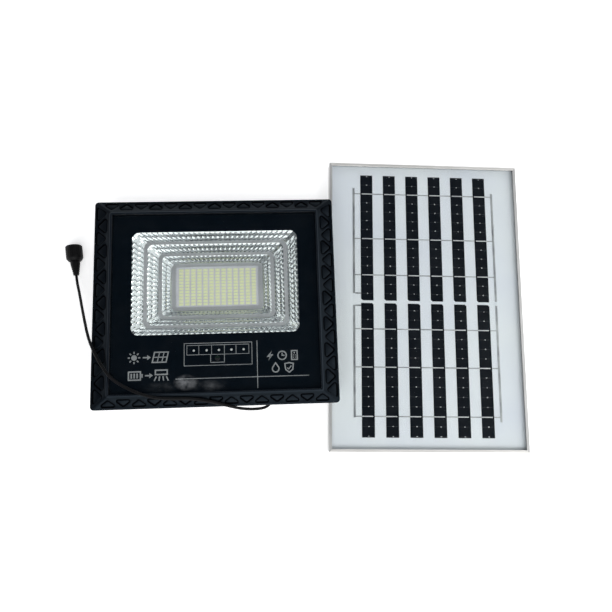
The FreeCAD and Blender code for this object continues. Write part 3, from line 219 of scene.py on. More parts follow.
surfaces = {
    "bezel_plastic": finish("bezel_plastic", (0.0008, 0.0014, 0.0028), (0.0016, 0.0024, 0.0040),
                            (0.36, 0.44), 2400, 0.00003, 0.3, 20, Specular_IOR_Level=0.16,
                            Specular_Tint=COOL),
    # A darker, duller copy of the bezel's plastic for the reliefs' groove walls: painted shade
    "bezel_groove": finish("bezel_groove", (0.0003, 0.0006, 0.001), (0.0006, 0.001, 0.0016),
                           (0.6, 0.75), 2400, 0.00003, 0.35, 20, Specular_IOR_Level=0.02),
    # A lighter, glossier copy of the bezel's plastic for the land and ridge: its lighter colour is
    # painted highlight
    "bezel_ridge": finish("bezel_ridge", (0.0036, 0.0050, 0.0076), (0.0056, 0.0074, 0.0104),
                          (0.34, 0.44), 2400, 0.00003, 0.3, 20, Specular_IOR_Level=0.25,
                          Specular_Tint=COOL),
    "housing_coat": finish("housing_coat", (0.010, 0.0105, 0.012), (0.016, 0.017, 0.019),
                           (0.42, 0.55), 1400, 0.00005, 0.5, 18),
    "bracket_coat": finish("bracket_coat", (0.011, 0.0115, 0.013), (0.018, 0.018, 0.02),
                           (0.38, 0.5), 1200, 0.00005, 0.5, 22),
    "lamp_glass": clear_glass("lamp_glass", 0.002, LAMP_SMUDGES),
    "solar_glass": clear_glass("solar_glass", 0.006),
    "mask_print": finish("mask_print", (0.0006, 0.0022, 0.0044), (0.0010, 0.0032, 0.0060),
                         (0.4, 0.5), 900, 0.00001, 0.1, 12, Specular_IOR_Level=0.05),
    "legend_print": finish("legend_print", (0.24, 0.25, 0.26), (0.32, 0.33, 0.34),
                           (0.45, 0.6), 3000, 0.00001, 0.3, 60),
    "mirror_coat": finish("mirror_coat", (0.52, 0.55, 0.56), (0.62, 0.65, 0.66),
                          (0.12, 0.18), 700, 0.00003, 0.1, 30, metallic=0.9),
    "mirror_satin": finish("mirror_satin", (0.62, 0.63, 0.65), (0.70, 0.71, 0.73),
                           (0.38, 0.5), 900, 0.00003, 0.15, 30, metallic=0.5),
    "fastener_steel": finish("fastener_steel", (0.42, 0.42, 0.41), (0.58, 0.58, 0.57),
                             (0.25, 0.4), 2500, 0.00002, 0.3, 200, metallic=1),
    "led_laminate": finish("led_laminate", (0.70, 0.70, 0.76), (0.78, 0.78, 0.84),
                           (0.28, 0.4), 1200, 0.00002, 0.2, 60),
    "led_package": finish("led_package", (0.90, 0.94, 0.66), (0.94, 0.97, 0.72),
                          (0.35, 0.5), 3000, 0.00001, 0.2, 300),
    "led_phosphor": finish("led_phosphor", (0.92, 0.96, 0.58), (0.96, 0.98, 0.65),
                           (0.3, 0.45), 5000, 0.00002, 0.5, 400),
    "sink_aluminium": finish("sink_aluminium", (0.60, 0.61, 0.62), (0.70, 0.71, 0.72),
                             (0.3, 0.45), 1800, 0.00002, 0.3, 40, metallic=1,
                             stretch=(1, 12, 12)),
    "control_laminate": finish("control_laminate", (0.010, 0.055, 0.028), (0.014, 0.075, 0.036),
                               (0.3, 0.42), 1500, 0.00002, 0.3, 80),
    "component_black": finish("component_black", (0.012, 0.012, 0.013), (0.02, 0.02, 0.022),
                              (0.35, 0.5), 3000, 0.00002, 0.3, 150),
    "indicator_lens": finish("indicator_lens", (0.84, 0.85, 0.84), (0.93, 0.93, 0.92),
                             (0.15, 0.3), 3000, 0.00001, 0.2, 500),
    "battery_sleeve": finish("battery_sleeve", (0.010, 0.09, 0.36), (0.014, 0.12, 0.43),
                             (0.22, 0.35), 1500, 0.00003, 0.3, 40),
    "holder_plastic": finish("holder_plastic", (0.014, 0.014, 0.015), (0.022, 0.022, 0.023),
                             (0.4, 0.55), 2000, 0.00003, 0.4, 60),
    "nickel_strip": finish("nickel_strip", (0.56, 0.54, 0.50), (0.66, 0.64, 0.60),
                           (0.22, 0.35), 2500, 0.00002, 0.3, 150, metallic=1),
    "wire_red": finish("wire_red", (0.40, 0.018, 0.014), (0.50, 0.026, 0.018),
                       (0.3, 0.42), 3000, 0.00002, 0.3, 200),
    "brass": finish("brass", (0.58, 0.40, 0.16), (0.70, 0.50, 0.22),
                    (0.25, 0.4), 2500, 0.00002, 0.3, 150, metallic=1),
    "gland_nylon": finish("gland_nylon", (0.010, 0.010, 0.011), (0.016, 0.016, 0.017),
                          (0.35, 0.48), 2500, 0.00003, 0.4, 90),
    "rubber_black": finish("rubber_black", (0.008, 0.008, 0.008), (0.014, 0.014, 0.014),
                           (0.6, 0.75), 2000, 0.00004, 0.5, 80),
    "lead_sheath": finish("lead_sheath", (0.0030, 0.0032, 0.0038), (0.0055, 0.0058, 0.0066),
                          (0.38, 0.5), 2500, 0.00003, 0.35, 70, Specular_IOR_Level=0.12),
    "connector_plastic": finish("connector_plastic", (0.0040, 0.0040, 0.0044),
                                (0.0070, 0.0070, 0.0076), (0.38, 0.5), 2500, 0.00004, 0.45, 90,
                                Specular_IOR_Level=0.15),
    "pin_metal": finish("pin_metal", (0.66, 0.52, 0.26), (0.78, 0.62, 0.32),
                        (0.18, 0.3), 2500, 0.00001, 0.2, 300, metallic=1),
    "cell_silicon": finish("cell_silicon", (0.0036, 0.0050, 0.0078), (0.0062, 0.0078, 0.0110),
                           (0.3, 0.4), 2500, 0.00001, 0.2, 18, Specular_IOR_Level=0.1),
    "cell_line": finish("cell_line", (0.07, 0.07, 0.08), (0.14, 0.14, 0.15),
                        (0.35, 0.5), 2500, 0.00001, 0.2, 500, metallic=0.6),
    "ribbon_tin": finish("ribbon_tin", (0.66, 0.67, 0.69), (0.84, 0.85, 0.86),
                         (0.3, 0.45), 900, 0.00003, 0.35, 60, metallic=0.35),
    # A darker, more metallic copy of the ribbons' tin for the buses, the tabs and the runs between
    # strips: its darker colour is painted shade
    "bus_tin": finish("bus_tin", (0.34, 0.35, 0.37), (0.60, 0.61, 0.62),
                      (0.3, 0.45), 900, 0.00003, 0.35, 60, metallic=0.6),
    "backsheet_white": finish("backsheet_white", (0.83, 0.86, 0.93), (0.89, 0.92, 0.95),
                              (0.45, 0.6), 700, 0.00003, 0.25, 9),
    "junction_plastic": finish("junction_plastic", (0.011, 0.011, 0.012), (0.018, 0.018, 0.019),
                               (0.38, 0.5), 2000, 0.00004, 0.45, 60),
}
# The frame's rails are brushed along their length; the side rails are darker, as painted shade
for axis, stretch, dark, light in (
        ("x", (0.03, 1, 1), (0.78, 0.77, 0.74), (0.86, 0.85, 0.82)),
        ("y", (1, 0.03, 1), (0.54, 0.54, 0.53), (0.62, 0.62, 0.61))):
    surfaces["frame_aluminium_" + axis] = finish(
        "frame_aluminium_" + axis, dark, light, (0.32, 0.45),
        2600, 0.00002, 0.35, 30, metallic=0.45, stretch=stretch, turn=-PANEL_YAW)


# ---------------------------------------------------------------- the frame's own nodes


def soften(name, width):
    """Round the edges of a CAD node by modifiers, which leave its mesh as it is."""
    node = nodes[name]
    weld = node.modifiers.new("Weld", "WELD")
    weld.merge_threshold = 0.000002
    flat = node.modifiers.new("Flatten", "DECIMATE")
    flat.decimate_type = "DISSOLVE"
    flat.angle_limit = math.radians(1)
    bevel = node.modifiers.new("Edges", "BEVEL")
    bevel.width = width * MM
    bevel.segments = 2
    bevel.limit_method = "ANGLE"
    bevel.angle_limit = math.radians(40)
    weighted = node.modifiers.new("Normals", "WEIGHTED_NORMAL")
    weighted.keep_sharp = True


for part in frame["record"]["subparts"]:
    slot = part["material_slot"]
    if slot == "frame_aluminium":
        # The side rails take the darker copy of the aluminium, painted shade
        slot += "_y" if part["node"] in ("panel_rail_left", "panel_rail_right") else "_x"
    for held in nodes[part["node"]].material_slots:
        held.material = surfaces[slot]

# How wide the rounding of each node's edges is, in millimetres
EDGES = {
    "rear_housing": 0.4, "bracket": 0.4, "gland_body": 0.3, "gland_nut": 0.3, "vent_plug": 0.3,
    "connector_body": 0.15, "connector_insert": 0.15,
    "panel_rail_left": 0.25, "panel_rail_right": 0.25, "panel_rail_top": 0.25,
    "panel_rail_bottom": 0.25, "junction_box": 0.4, "junction_lid": 0.4,
    "junction_inlet": 0.3, "pivot_bolts": 0.2, "pivot_washers": 0.15,
}
for edged, edge_width in EDGES.items():
    soften(edged, edge_width)


# ---------------------------------------------------------------- the lead

# The lead's middle, from the gland over the lamp's near left corner to the connector
LEAD_POINTS = [
    (62, -106, 19.5), (62, -109.4, 19.5), (61.2, -113.8, 19.9), (58.6, -118, 21.2),
    (54.4, -121, 23.6), (48.6, -122.4, 27.2), (41, -122.8, 32.2), (33, -122.4, 37.8),
    (25, -121.4, 43), (16, -119.2, 47), (4, -115.9, 49), (-10, -112.2, 49.8),
    (-27, -109.4, 50.4), (-44, -109.2, 50.8),
    (-61, -108.4, 51.4), (-76, -104.8, 52), (-89, -99.6, 50.6), (-100, -94.2, 49.4),
    (-109, -88.6, 50.4), (-116.2, -81.4, 52.2), (-122.8, -72.4, 52), (-130, -60.4, 50.6),
    (-137.2, -46.6, 48.4), (-142.9, -32.6, 43.6), (-147.6, -18.8, 37.4), (-152.5, -5, 30.4),
    (-157.4, 8.4, 22.4), (-162, 20.6, 14.6), (-166.25, 33.2, 9.8), (-167.2, 41.2, 9.8),
]
LEAD_DIAMETER = 0.0032


def make_lead():
    curve = bpy.data.curves.new("lead_cable", "CURVE")
    curve.dimensions = "3D"
    curve.bevel_depth = LEAD_DIAMETER / 2
    curve.bevel_resolution = 5
    curve.use_fill_caps = True
    spline = curve.splines.new("NURBS")
    spline.points.add(len(LEAD_POINTS) - 1)
    for point, place in zip(spline.points, LEAD_POINTS):
        point.co = (*[length * MM for length in place], 1)
    spline.order_u = 3
    spline.use_endpoint_u = True
    spline.resolution_u = 8
    lead = bpy.data.objects.new("lead_cable", curve)
    bpy.context.scene.collection.objects.link(lead)
    curve.materials.append(surfaces["lead_sheath"])
    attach(lead, "lamp")
    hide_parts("lead")


make_lead()


# ---------------------------------------------------------------- mesh building


class Shape:
    """Points in millimetres and faces, each face with a tone that picks its material."""

    def __init__(self):
        self.points = []
        self.faces = []
        self.tones = []

    def ring(self, points):
        start = len(self.points)
        self.points += [tuple(point) for point in points]
        return list(range(start, len(self.points)))

    def face(self, corners, tone=0):
        self.faces.append(corners)
        self.tones.append(tone)

    def bridge(self, first, second, closed=True, tone=0):
        count = len(first)
        for here in range(count if closed else count - 1):
            there = (here + 1) % count
            self.face([first[here], first[there], second[there], second[here]], tone)

    def prism(self, outline, low, high, tone=0):
        """A flat outline, given by x and y, raised between two levels."""
        bottom = self.ring([(x, y, low) for x, y in outline])
        top = self.ring([(x, y, high) for x, y in outline])
        self.bridge(bottom, top, tone=tone)
        self.face(bottom[::-1], tone)
        self.face(top, tone)

    def band(self, outer, inner, low, high):
        """A flat outline with a hole of as many points, raised between two levels."""
        rings = [self.ring([(x, y, level) for x, y in outline])
                 for outline, level in ((outer, low), (outer, high), (inner, high), (inner, low))]
        for first, second in zip(rings, rings[1:] + rings[:1]):
            self.bridge(first, second)

    def build(self, name, body, materials, slot, replaced=(), crease=30, place=None):
        mesh = bpy.data.meshes.new(name)
        scaled = [tuple(length * MM for length in point) for point in self.points]
        mesh.from_pydata(scaled, [], self.faces)
        mesh.polygons.foreach_set("material_index", self.tones)
        work = bmesh.new()
        work.from_mesh(mesh)
        bmesh.ops.remove_doubles(work, verts=work.verts, dist=0.0000005)
        bmesh.ops.recalc_face_normals(work, faces=work.faces)
        work.to_mesh(mesh)
        work.free()
        for polygon in mesh.polygons:
            polygon.use_smooth = True
        mesh.set_sharp_from_angle(angle=math.radians(crease))
        for material in materials:
            mesh.materials.append(surfaces[material])
        piece = bpy.data.objects.new(name, mesh)
        bpy.context.scene.collection.objects.link(piece)
        if place is not None:
            piece.matrix_world = place
        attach(piece, body)
        if replaced:
            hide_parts(*replaced)


CORNERS = ((1, 1), (-1, 1), (-1, -1), (1, -1))


def rounded(width, height, radius, z=None, x=0.0, y=0.0, steps=6):
    """A rounded rectangle from the upper end of its right side, counter-clockwise."""
    points = []
    for quarter, (side_x, side_y) in enumerate(CORNERS):
        middle = (x + side_x * (width / 2 - radius), y + side_y * (height / 2 - radius))
        for step in range(steps + 1):
            angle = math.pi / 2 * (quarter + step / steps)
            spot = (middle[0] + radius * math.cos(angle), middle[1] + radius * math.sin(angle))
            points.append(spot if z is None else (*spot, z))
    return points


def inside(point, outline):
    """True if a point is within a convex counter-clockwise outline."""
    count = len(outline)
    for here in range(count):
        (ax, ay), (bx, by) = outline[here], outline[(here + 1) % count]
        if (bx - ax) * (point[1] - ay) - (by - ay) * (point[0] - ax) < 0:
            return False
    return True


def triangles_between(outline, holes):
    """Triangles that fill a convex outline around its convex holes, by point number."""
    loops = [outline] + holes
    points, edges = [], []
    for loop in loops:
        start, count = len(points), len(loop)
        points += [Vector(point) for point in loop]
        edges += [(start + here, start + (here + 1) % count) for here in range(count)]
    filled = geometry.delaunay_2d_cdt(points, edges, [], 0, 1e-6)
    kept = []
    for corners in filled[2]:
        middle = sum((filled[0][corner] for corner in corners), Vector((0, 0))) / 3
        if inside(middle, outline) and not any(inside(middle, hole) for hole in holes):
            kept.append(corners)
    return filled[0], kept


# ---------------------------------------------------------------- the front bezel

# Width, height, corner radius and level at the band's outer and inner edges
SHOULDER = (274.4, 237.6, 4.0, 45.0)
LAND = (238.8, 210.6, 2.0, 49.3)


def on_band(share):
    """An outline part of the way down the sloping band, from its inner edge."""
    return tuple(low + share * (high - low) for low, high in zip(LAND, SHOULDER))


BEZEL_OUTLINES = [
    # From the outer foot over the band and the ridge to the inside
    (273.6, 236.8, 3.6, 30.5), (274.4, 237.6, 4, 30.9), (274.4, 237.6, 4, 44.6),
    (274.15, 237.4, 3.9, 44.9), on_band(0.97), on_band(0.01),
    (238.4, 210.2, 2.1, 49.42), (237.8, 209.6, 2.1, 49.72), (237.0, 208.8, 1.8, 49.93),
    (236.2, 208.0, 1.5, 50), (234.9, 206.7, 0.9, 50), (234.2, 206.0, 0.7, 49.92),
    (233.6, 205.4, 0.5, 49.65), (233.4, 205.2, 0.4, 49.3), (233.4, 205.2, 0.4, 47.2),
    (240.8, 212.8, 1.9, 47.2), (240.8, 212.8, 1.9, 43.55), (255, 218, 4, 43.55),
    (255, 218, 4, 30.5),
]
BAND_START = 4
# The rings from which the land and ridge take the lighter plastic, a painted highlight
RIDGE_HIGHLIGHT_STARTS = range(5, 13)
# The reliefs of a side and of an end: base, height, distance apart and corner radius
SIDE_RELIEFS = (24.2, 14.2, 29.8, 3.1)
END_RELIEFS = (25.4, 9.5, 33.6, 2.4)
# How far each level of a relief stands in from its opening, and how deep: a groove round a
# raised pad, the groove's walls darker as painted shade
RELIEF_LEVELS = [(-0.08, 0), (0.06, 0.07), (0.22, 0.4), (0.5, 1.02), (0.72, 1.1), (1.1, 1.1),
                 (1.45, 0.98), (1.8, 0.74), (2.0, 0.68)]
# The levels whose faces take the darker plastic, painted shade in the groove
SHADED_GROOVE_LEVELS = range(1, 6)
# On each side, the triangles that point outwards and those between them that point inwards
RELIEF_COUNTS = ((True, 7), (False, 8))


def rounded_triangle(half, rise, corner_radius, inset, steps=5):
    """A triangle with its base on u = 0, moved in by an inset, with its corners rounded."""
    corners = [Vector((0, -half)), Vector((rise, 0)), Vector((0, half))]
    radius = corner_radius - inset
    points = []
    for index, corner in enumerate(corners):
        back = (corners[index - 1] - corner).normalized()
        ahead = (corners[(index + 1) % 3] - corner).normalized()
        half_angle = back.angle(ahead) / 2
        middle = corner + (back + ahead).normalized() * ((inset + radius) / math.sin(half_angle))
        enter_angle = math.atan2(back.x, -back.y)
        leave_angle = math.atan2(-ahead.x, ahead.y)
        while leave_angle < enter_angle:
            leave_angle += 2 * math.pi
        for step in range(steps + 1):
            angle = enter_angle + (leave_angle - enter_angle) * step / steps
            points.append(middle + radius * Vector((math.cos(angle), math.sin(angle))))
    return points


def fill_band(shape, outer, inner, heading, reliefs):
    """One sloping side of the bezel with its row of triangular reliefs.

    u runs down the slope from the land's edge, v along the side and w out of the surface."""
    base, rise, pitch, corner_radius = reliefs
    across = 0 if heading % 180 == 0 else 1
    inner_edge = LAND[across] / 2
    band = SHOULDER[across] / 2 - inner_edge
    slope = math.atan((LAND[3] - SHOULDER[3]) / band)
    turn = Matrix.Rotation(math.radians(heading), 3, "Z")
    tilt = Matrix.Rotation(slope, 3, "Y")
    edge = Vector((inner_edge, 0, LAND[3]))

    def raised(u, v, w):
        return turn @ (edge + tilt @ Vector((u, v, w)))

    back = turn.inverted()
    flat = []
    for corner in (inner[0], outer[0], outer[1], inner[1]):
        local = tilt.inverted() @ (back @ Vector(shape.points[corner]) - edge)
        flat.append(Vector((local.x, local.y)))
    if (flat[1] - flat[0]).cross(flat[2] - flat[1]) < 0:
        flat.reverse()
    margin = (band / math.cos(slope) - rise) / 2
    holes = []
    for points_out, count in RELIEF_COUNTS:
        for index in range(count):
            along = (index - (count - 1) / 2) * pitch
            rings = []
            for inset, depth in RELIEF_LEVELS:
                outline = rounded_triangle(base / 2, rise, corner_radius, inset)
                if points_out:
                    placed = [Vector((margin + p.x, along + p.y)) for p in outline]
                else:
                    placed = [Vector((margin + rise - p.x, along - p.y)) for p in outline]
                rings.append((placed, depth))
            holes.append(rings[0][0])
            numbers = [shape.ring([raised(p.x, p.y, -depth) for p in placed])
                       for placed, depth in rings]
            for level, (first, second) in enumerate(zip(numbers, numbers[1:])):
                # The groove's walls take the darker plastic as painted shade
                shape.bridge(first, second, tone=1 if level in SHADED_GROOVE_LEVELS else 0)
            shape.face(numbers[-1], 0)
    points, triangles = triangles_between(flat, holes)
    numbers = shape.ring([raised(p.x, p.y, 0) for p in points])
    for corners in triangles:
        shape.face([numbers[corner] for corner in corners])


def make_bezel():
    shape = Shape()
    rings = [shape.ring(rounded(*size)) for size in BEZEL_OUTLINES]
    for index, ring in enumerate(rings):
        following = rings[(index + 1) % len(rings)]
        if index != BAND_START:
            # The land and ridge take the lighter plastic as painted highlight
            shape.bridge(ring, following, tone=2 if index in RIDGE_HIGHLIGHT_STARTS else 0)
            continue
        arc = len(ring) // 4
        for quarter in range(4):
            start, end = quarter * arc, (quarter + 1) * arc
            shape.bridge(ring[start:end], following[start:end], closed=False)
            after = end % len(ring)
            side = (quarter + 1) % 4
            fill_band(shape, (ring[end - 1], ring[after]), (following[end - 1], following[after]),
                      90 * side, END_RELIEFS if side % 2 else SIDE_RELIEFS)
    shape.build("bezel_moulding", "lamp", ["bezel_plastic", "bezel_groove", "bezel_ridge"],
                "bezel_plastic", ["front_bezel"], crease=28)


make_bezel()


# ---------------------------------------------------------------- the printed mask and legend

MASK_HIGH = 43.62
PRINT_HIGH = 43.67
# Widths of the printed lines: the display's frame and dividers, then those of the symbols
FRAME_LINE = 0.7
DIVIDER_LINE = 0.6
BOLD_LINE = 1.5
MEDIUM_LINE = 1.4
THIN_LINE = 1.2
GRID_LINE = 1.1
SUN = (-90.6, -62.4)


def make_mask():
    """The black print under the glass, thinner than its node to leave room for the legend."""
    mesh = nodes["printed_mask"].data.copy()
    for vertex in mesh.vertices:
        if vertex.co.z > MASK_HIGH * MM:
            vertex.co.z = MASK_HIGH * MM
    mask = bpy.data.objects.new("mask_film", mesh)
    bpy.context.scene.collection.objects.link(mask)
    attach(mask, "lamp")
    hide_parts("printed_mask")


def box_outline(left, low, right, high):
    return [(left, low), (right, low), (right, high), (left, high)]


def circle(x, y, radius, count=28, start=0.0, sweep=360.0):
    steps = count if sweep >= 360 else count - 1
    return [(x + radius * math.cos(math.radians(start + sweep * n / steps)),
             y + radius * math.sin(math.radians(start + sweep * n / steps)))
            for n in range(count)]


def offset(outline, distance):
    """A counter-clockwise outline moved outwards, with mitred corners."""
    moved = []
    count = len(outline)
    for index, corner in enumerate(outline):
        here = Vector(corner)
        back = (here - Vector(outline[index - 1])).normalized()
        ahead = (Vector(outline[(index + 1) % count]) - here).normalized()
        out = Vector((back.y, -back.x)) + Vector((ahead.y, -ahead.x))
        moved.append(tuple(here + out * (distance / (1 + back.dot(ahead)))))
    return moved


class Legend(Shape):
    """Flat printed marks under the glass."""

    def fill(self, outline):
        self.prism(outline, MASK_HIGH, PRINT_HIGH)

    def loop(self, outline, width):
        self.band(offset(outline, width / 2), offset(outline, -width / 2), MASK_HIGH, PRINT_HIGH)

    def stroke(self, start, end, width):
        run = (Vector(end) - Vector(start)).normalized()
        side = Vector((-run.y, run.x)) * width / 2
        corners = (Vector(start) - side, Vector(end) - side, Vector(end) + side,
                   Vector(start) + side)
        self.fill([tuple(corner) for corner in corners])


def make_legend():
    marks = Legend()
    # The display frame: five windows in a row, and the sensor's below them
    marks.loop(box_outline(-35.4, -73, 40.2, -48), FRAME_LINE)
    marks.loop(box_outline(-32.4, -60.9, 36.8, -50.3), DIVIDER_LINE)
    for x in (-19.1, -4.9, 9.4, 22.4):
        marks.stroke((x, -60.4), (x, -50.8), DIVIDER_LINE)
    marks.fill(box_outline(-6.4, -70.3, -5.6, -61.4))
    marks.fill(box_outline(8.9, -70.3, 9.7, -61.4))
    marks.fill(box_outline(-5.4, -70.3, 8.7, -69.5))
    # The long rules
    marks.fill(box_outline(45.6, -86.9, 46.4, -46.6))
    marks.fill(box_outline(45.6, -100, 46.4, -87.7))
    marks.fill(box_outline(-44.7, -87.7, 103.7, -86.9))
    # Sun, arrow and panel
    marks.fill(circle(*SUN, 3.1))
    centre = Vector(SUN)
    for ray in range(8):
        angle = math.radians(45 * ray)
        reach = Vector((math.cos(angle), math.sin(angle)))
        marks.stroke(centre + reach * 4.5, centre + reach * 6.9, BOLD_LINE)
    marks.stroke((-81, -62.4), (-75.8, -62.4), BOLD_LINE)
    marks.fill([(-76.2, -65.2), (-72.2, -62.4), (-76.2, -59.6)])
    marks.loop([(-70.6, -68), (-55.4, -68), (-52.9, -56.8), (-68.1, -56.8)], MEDIUM_LINE)
    marks.stroke((-69.0, -62.4), (-54.8, -62.4), GRID_LINE)
    marks.stroke((-64.9, -67.2), (-62.7, -57.6), GRID_LINE)
    marks.stroke((-59.9, -67.2), (-57.7, -57.6), GRID_LINE)
    # Battery, arrow and lamp
    marks.loop(box_outline(-96.4, -87, -83.4, -78), BOLD_LINE)
    marks.fill(box_outline(-82.4, -84.5, -80.8, -80.5))
    for x in (-94.2, -91, -87.8):
        marks.fill(box_outline(x, -85.2, x + 1.8, -79.8))
    marks.stroke((-78.4, -82.5), (-73.2, -82.5), BOLD_LINE)
    marks.fill([(-73.6, -85.3), (-69.6, -82.5), (-73.6, -79.7)])
    marks.loop(box_outline(-67, -81.6, -54, -76.8), BOLD_LINE)
    for x, spreading in ((-66, -2.2), (-62.3, -0.8), (-58.7, 0.8), (-55, 2.2)):
        marks.stroke((x, -83.6), (x + spreading, -88.6), MEDIUM_LINE)
    # Bolt, clock and hand-held control
    marks.fill([(58.6, -69.4), (64.2, -62.6), (60.9, -62.6)])
    marks.fill([(56.4, -65.6), (61.4, -65.6), (60.9, -62.6)])
    marks.fill([(62.6, -58.6), (60.9, -62.6), (56.4, -65.6)])
    marks.loop(circle(74, -64.2, 4.7), MEDIUM_LINE)
    marks.stroke((74, -64.8), (74, -61.2), THIN_LINE)
    marks.stroke((74.6, -64.2), (76.8, -64.2), THIN_LINE)
    marks.loop(box_outline(84.6, -69.2, 91, -59.2), MEDIUM_LINE)
    for y in (-66.6, -64.2):
        for x in (86.7, 88.9):
            marks.fill(circle(x, y, 0.6, 12))
    marks.fill(circle(87.8, -61.6, 0.9, 14))
    # Drop and shield
    drop = circle(66.4, -79, 3.7, 22, -215, 250)
    marks.loop(drop + [(66.4, -72.4)], MEDIUM_LINE)
    marks.loop([(81.6, -83.4), (85.6, -80.2), (86.4, -73.6), (81.6, -72.6), (76.8, -73.6),
                (77.6, -80.2)], MEDIUM_LINE)
    marks.stroke((79.4, -78.2), (81.2, -80), THIN_LINE)
    marks.stroke((81.0, -80), (84, -76), THIN_LINE)
    marks.build("legend_marks", "lamp", ["legend_print"], "mask_print")


make_mask()
make_legend()


# ---------------------------------------------------------------- the reflector

BOWL_CENTRE = 22.25
SHELF = 43.55
FLANGE_UNDER = 42.05
BOARD_TOP = 15.0
TIER_DROP = 9.12
CORNER_DROP = 1.5
# Width, height and corner radius of the flange, the bowl's rim in front, its foot and its back
FLANGE = (254, 217.2, 4)
RIM = (189.5, 119.3, 8.5)
FOOT = (112, 62, 3)
BACK = (195.5, 125.3, 11.5)
MOUTH_CORNER = 1
# The flange's openings: the display's width, height, corner radius and place, and the
# sensor's place and radius
DISPLAY_OPENING = (72, 7, 3)
DISPLAY_PLACE = (3, -56)
SENSOR_OPENING = (1.6, -66.5, 4)
# Run and step across and along, cells on a long side and on a short one, for each tier
TIERS = [
    (11.8, 8.8, 4.0, 3.2, 28, 16),
    (11.4, 8.6, 4.0, 3.2, 25, 14),
    (10.0, 7.8, 4.75, 3.75, 22, 12),
]
CELL_STEPS = 4
CELL_ROWS = 2
CORNER_CELLS = 3
CELL_BULGE = 0.8


def side_points(width, height, radius, z, long_count, short_count, corner_count):
    """A rounded rectangle as eight runs, each with as many steps as its tier's cells need."""
    runs = []
    for quarter, (side_x, side_y) in enumerate(CORNERS):
        middle = Vector((side_x * (width / 2 - radius),
                         BOWL_CENTRE + side_y * (height / 2 - radius), z))
        arc = []
        for step in range(corner_count + 1):
            angle = math.pi / 2 * (quarter + step / corner_count)
            arc.append(middle + radius * Vector((math.cos(angle), math.sin(angle), 0)))
        runs.append(arc)
    full = []
    for quarter in range(4):
        start, end = runs[quarter][-1], runs[(quarter + 1) % 4][0]
        count = long_count if quarter % 2 == 0 else short_count
        full.append(runs[quarter])
        full.append([start.lerp(end, step / count) for step in range(count + 1)])
    return full


def joined(runs):
    """One closed outline from runs that start where the one before ends."""
    return [point for run in runs for point in run[:-1]]


def cell_wall(shape, upper, lower, bulge):
    """A sloping wall between two runs, covered in small domed facets."""
    count = len(upper) - 1
    rows = CELL_ROWS * CELL_STEPS
    grid = []
    for row in range(rows + 1):
        across = row / rows
        line = []
        for index in range(count + 1):
            before, after = max(index - 1, 0), min(index + 1, count)
            spot = upper[index].lerp(lower[index], across)
            ahead = upper[after].lerp(lower[after], across)
            along = ahead - upper[before].lerp(lower[before], across)
            normal = along.cross(lower[index] - upper[index]).normalized()
            if normal.z < 0:
                normal.negate()
            u = (index % CELL_STEPS) / CELL_STEPS * 2 - 1
            v = (row % CELL_STEPS) / CELL_STEPS * 2 - 1
            line.append(spot + normal * bulge * (1 - u * u) * (1 - v * v))
        grid.append(shape.ring(line))
    for first, second in zip(grid, grid[1:]):
        shape.bridge(first, second, closed=False)


def flat_between(shape, outline, holes, z, tone=0):
    """A flat face at one level that fills an outline around its holes."""
    flat = [[(point[0], point[1]) for point in loop] for loop in [outline] + holes]
    points, triangles = triangles_between(flat[0], flat[1:])
    numbers = shape.ring([(point.x, point.y, z) for point in points])
    for corners in triangles:
        shape.face([numbers[corner] for corner in corners], tone)


def make_reflector():
    shape = Shape()
    flange = rounded(*FLANGE, SHELF)
    slot = rounded(*DISPLAY_OPENING, SHELF, *DISPLAY_PLACE)
    sensor = [(x, y, SHELF) for x, y in circle(*SENSOR_OPENING)]
    width, height, radius = RIM
    level = SHELF
    previous = flange
    openings = [slot, sensor]
    for run_x, run_y, step_x, step_y, long_cells, short_cells in TIERS:
        counts = [cells * CELL_STEPS for cells in (long_cells, short_cells, CORNER_CELLS)]
        upper = side_points(width, height, radius, level, *counts)
        flat_between(shape, previous, [joined(upper)] + openings, level, 1)
        openings = []
        radius -= CORNER_DROP
        level -= TIER_DROP
        width -= 2 * run_x
        height -= 2 * run_y
        lower = side_points(width, height, radius, level, *counts)
        for number, (top_run, bottom_run) in enumerate(zip(upper, lower)):
            cell_wall(shape, top_run, bottom_run, CELL_BULGE if number % 2 else CELL_BULGE / 2)
        previous = joined(lower)
        width -= 2 * step_x
        height -= 2 * step_y
    mouth = rounded(width, height, MOUTH_CORNER, level, y=BOWL_CENTRE)
    flat_between(shape, previous, [mouth], level, 1)
    sill = shape.ring([(x, y, BOARD_TOP) for x, y, z in mouth])
    shape.bridge(shape.ring(mouth), sill)
    foot = shape.ring(rounded(*FOOT, BOARD_TOP, y=BOWL_CENTRE))
    shape.bridge(sill, foot)
    back = rounded(*BACK, FLANGE_UNDER, y=BOWL_CENTRE)
    shape.bridge(foot, shape.ring(back))
    flat_between(shape, flange, [back, slot, sensor], FLANGE_UNDER)
    for loop in (flange, slot, sensor):
        low = shape.ring([(x, y, FLANGE_UNDER) for x, y, z in loop])
        shape.bridge(shape.ring(loop), low)
    shape.build("reflector_bowl", "lamp", ["mirror_coat", "mirror_satin"], "mirror_coat",
                ["reflector"], crease=22)


make_reflector()


# ---------------------------------------------------------------- the LED array

CHIP_COLUMNS = 13
CHIP_ROWS = 12
CHIP_PITCH_X = 7.15
CHIP_PITCH_Y = 3.74
CHIP_LENGTH = 5.2
CHIP_WIDTH = 2.9
CHIP_TOP = 15.8
# The number of the package's level where its phosphor window starts
WINDOW_START = 3


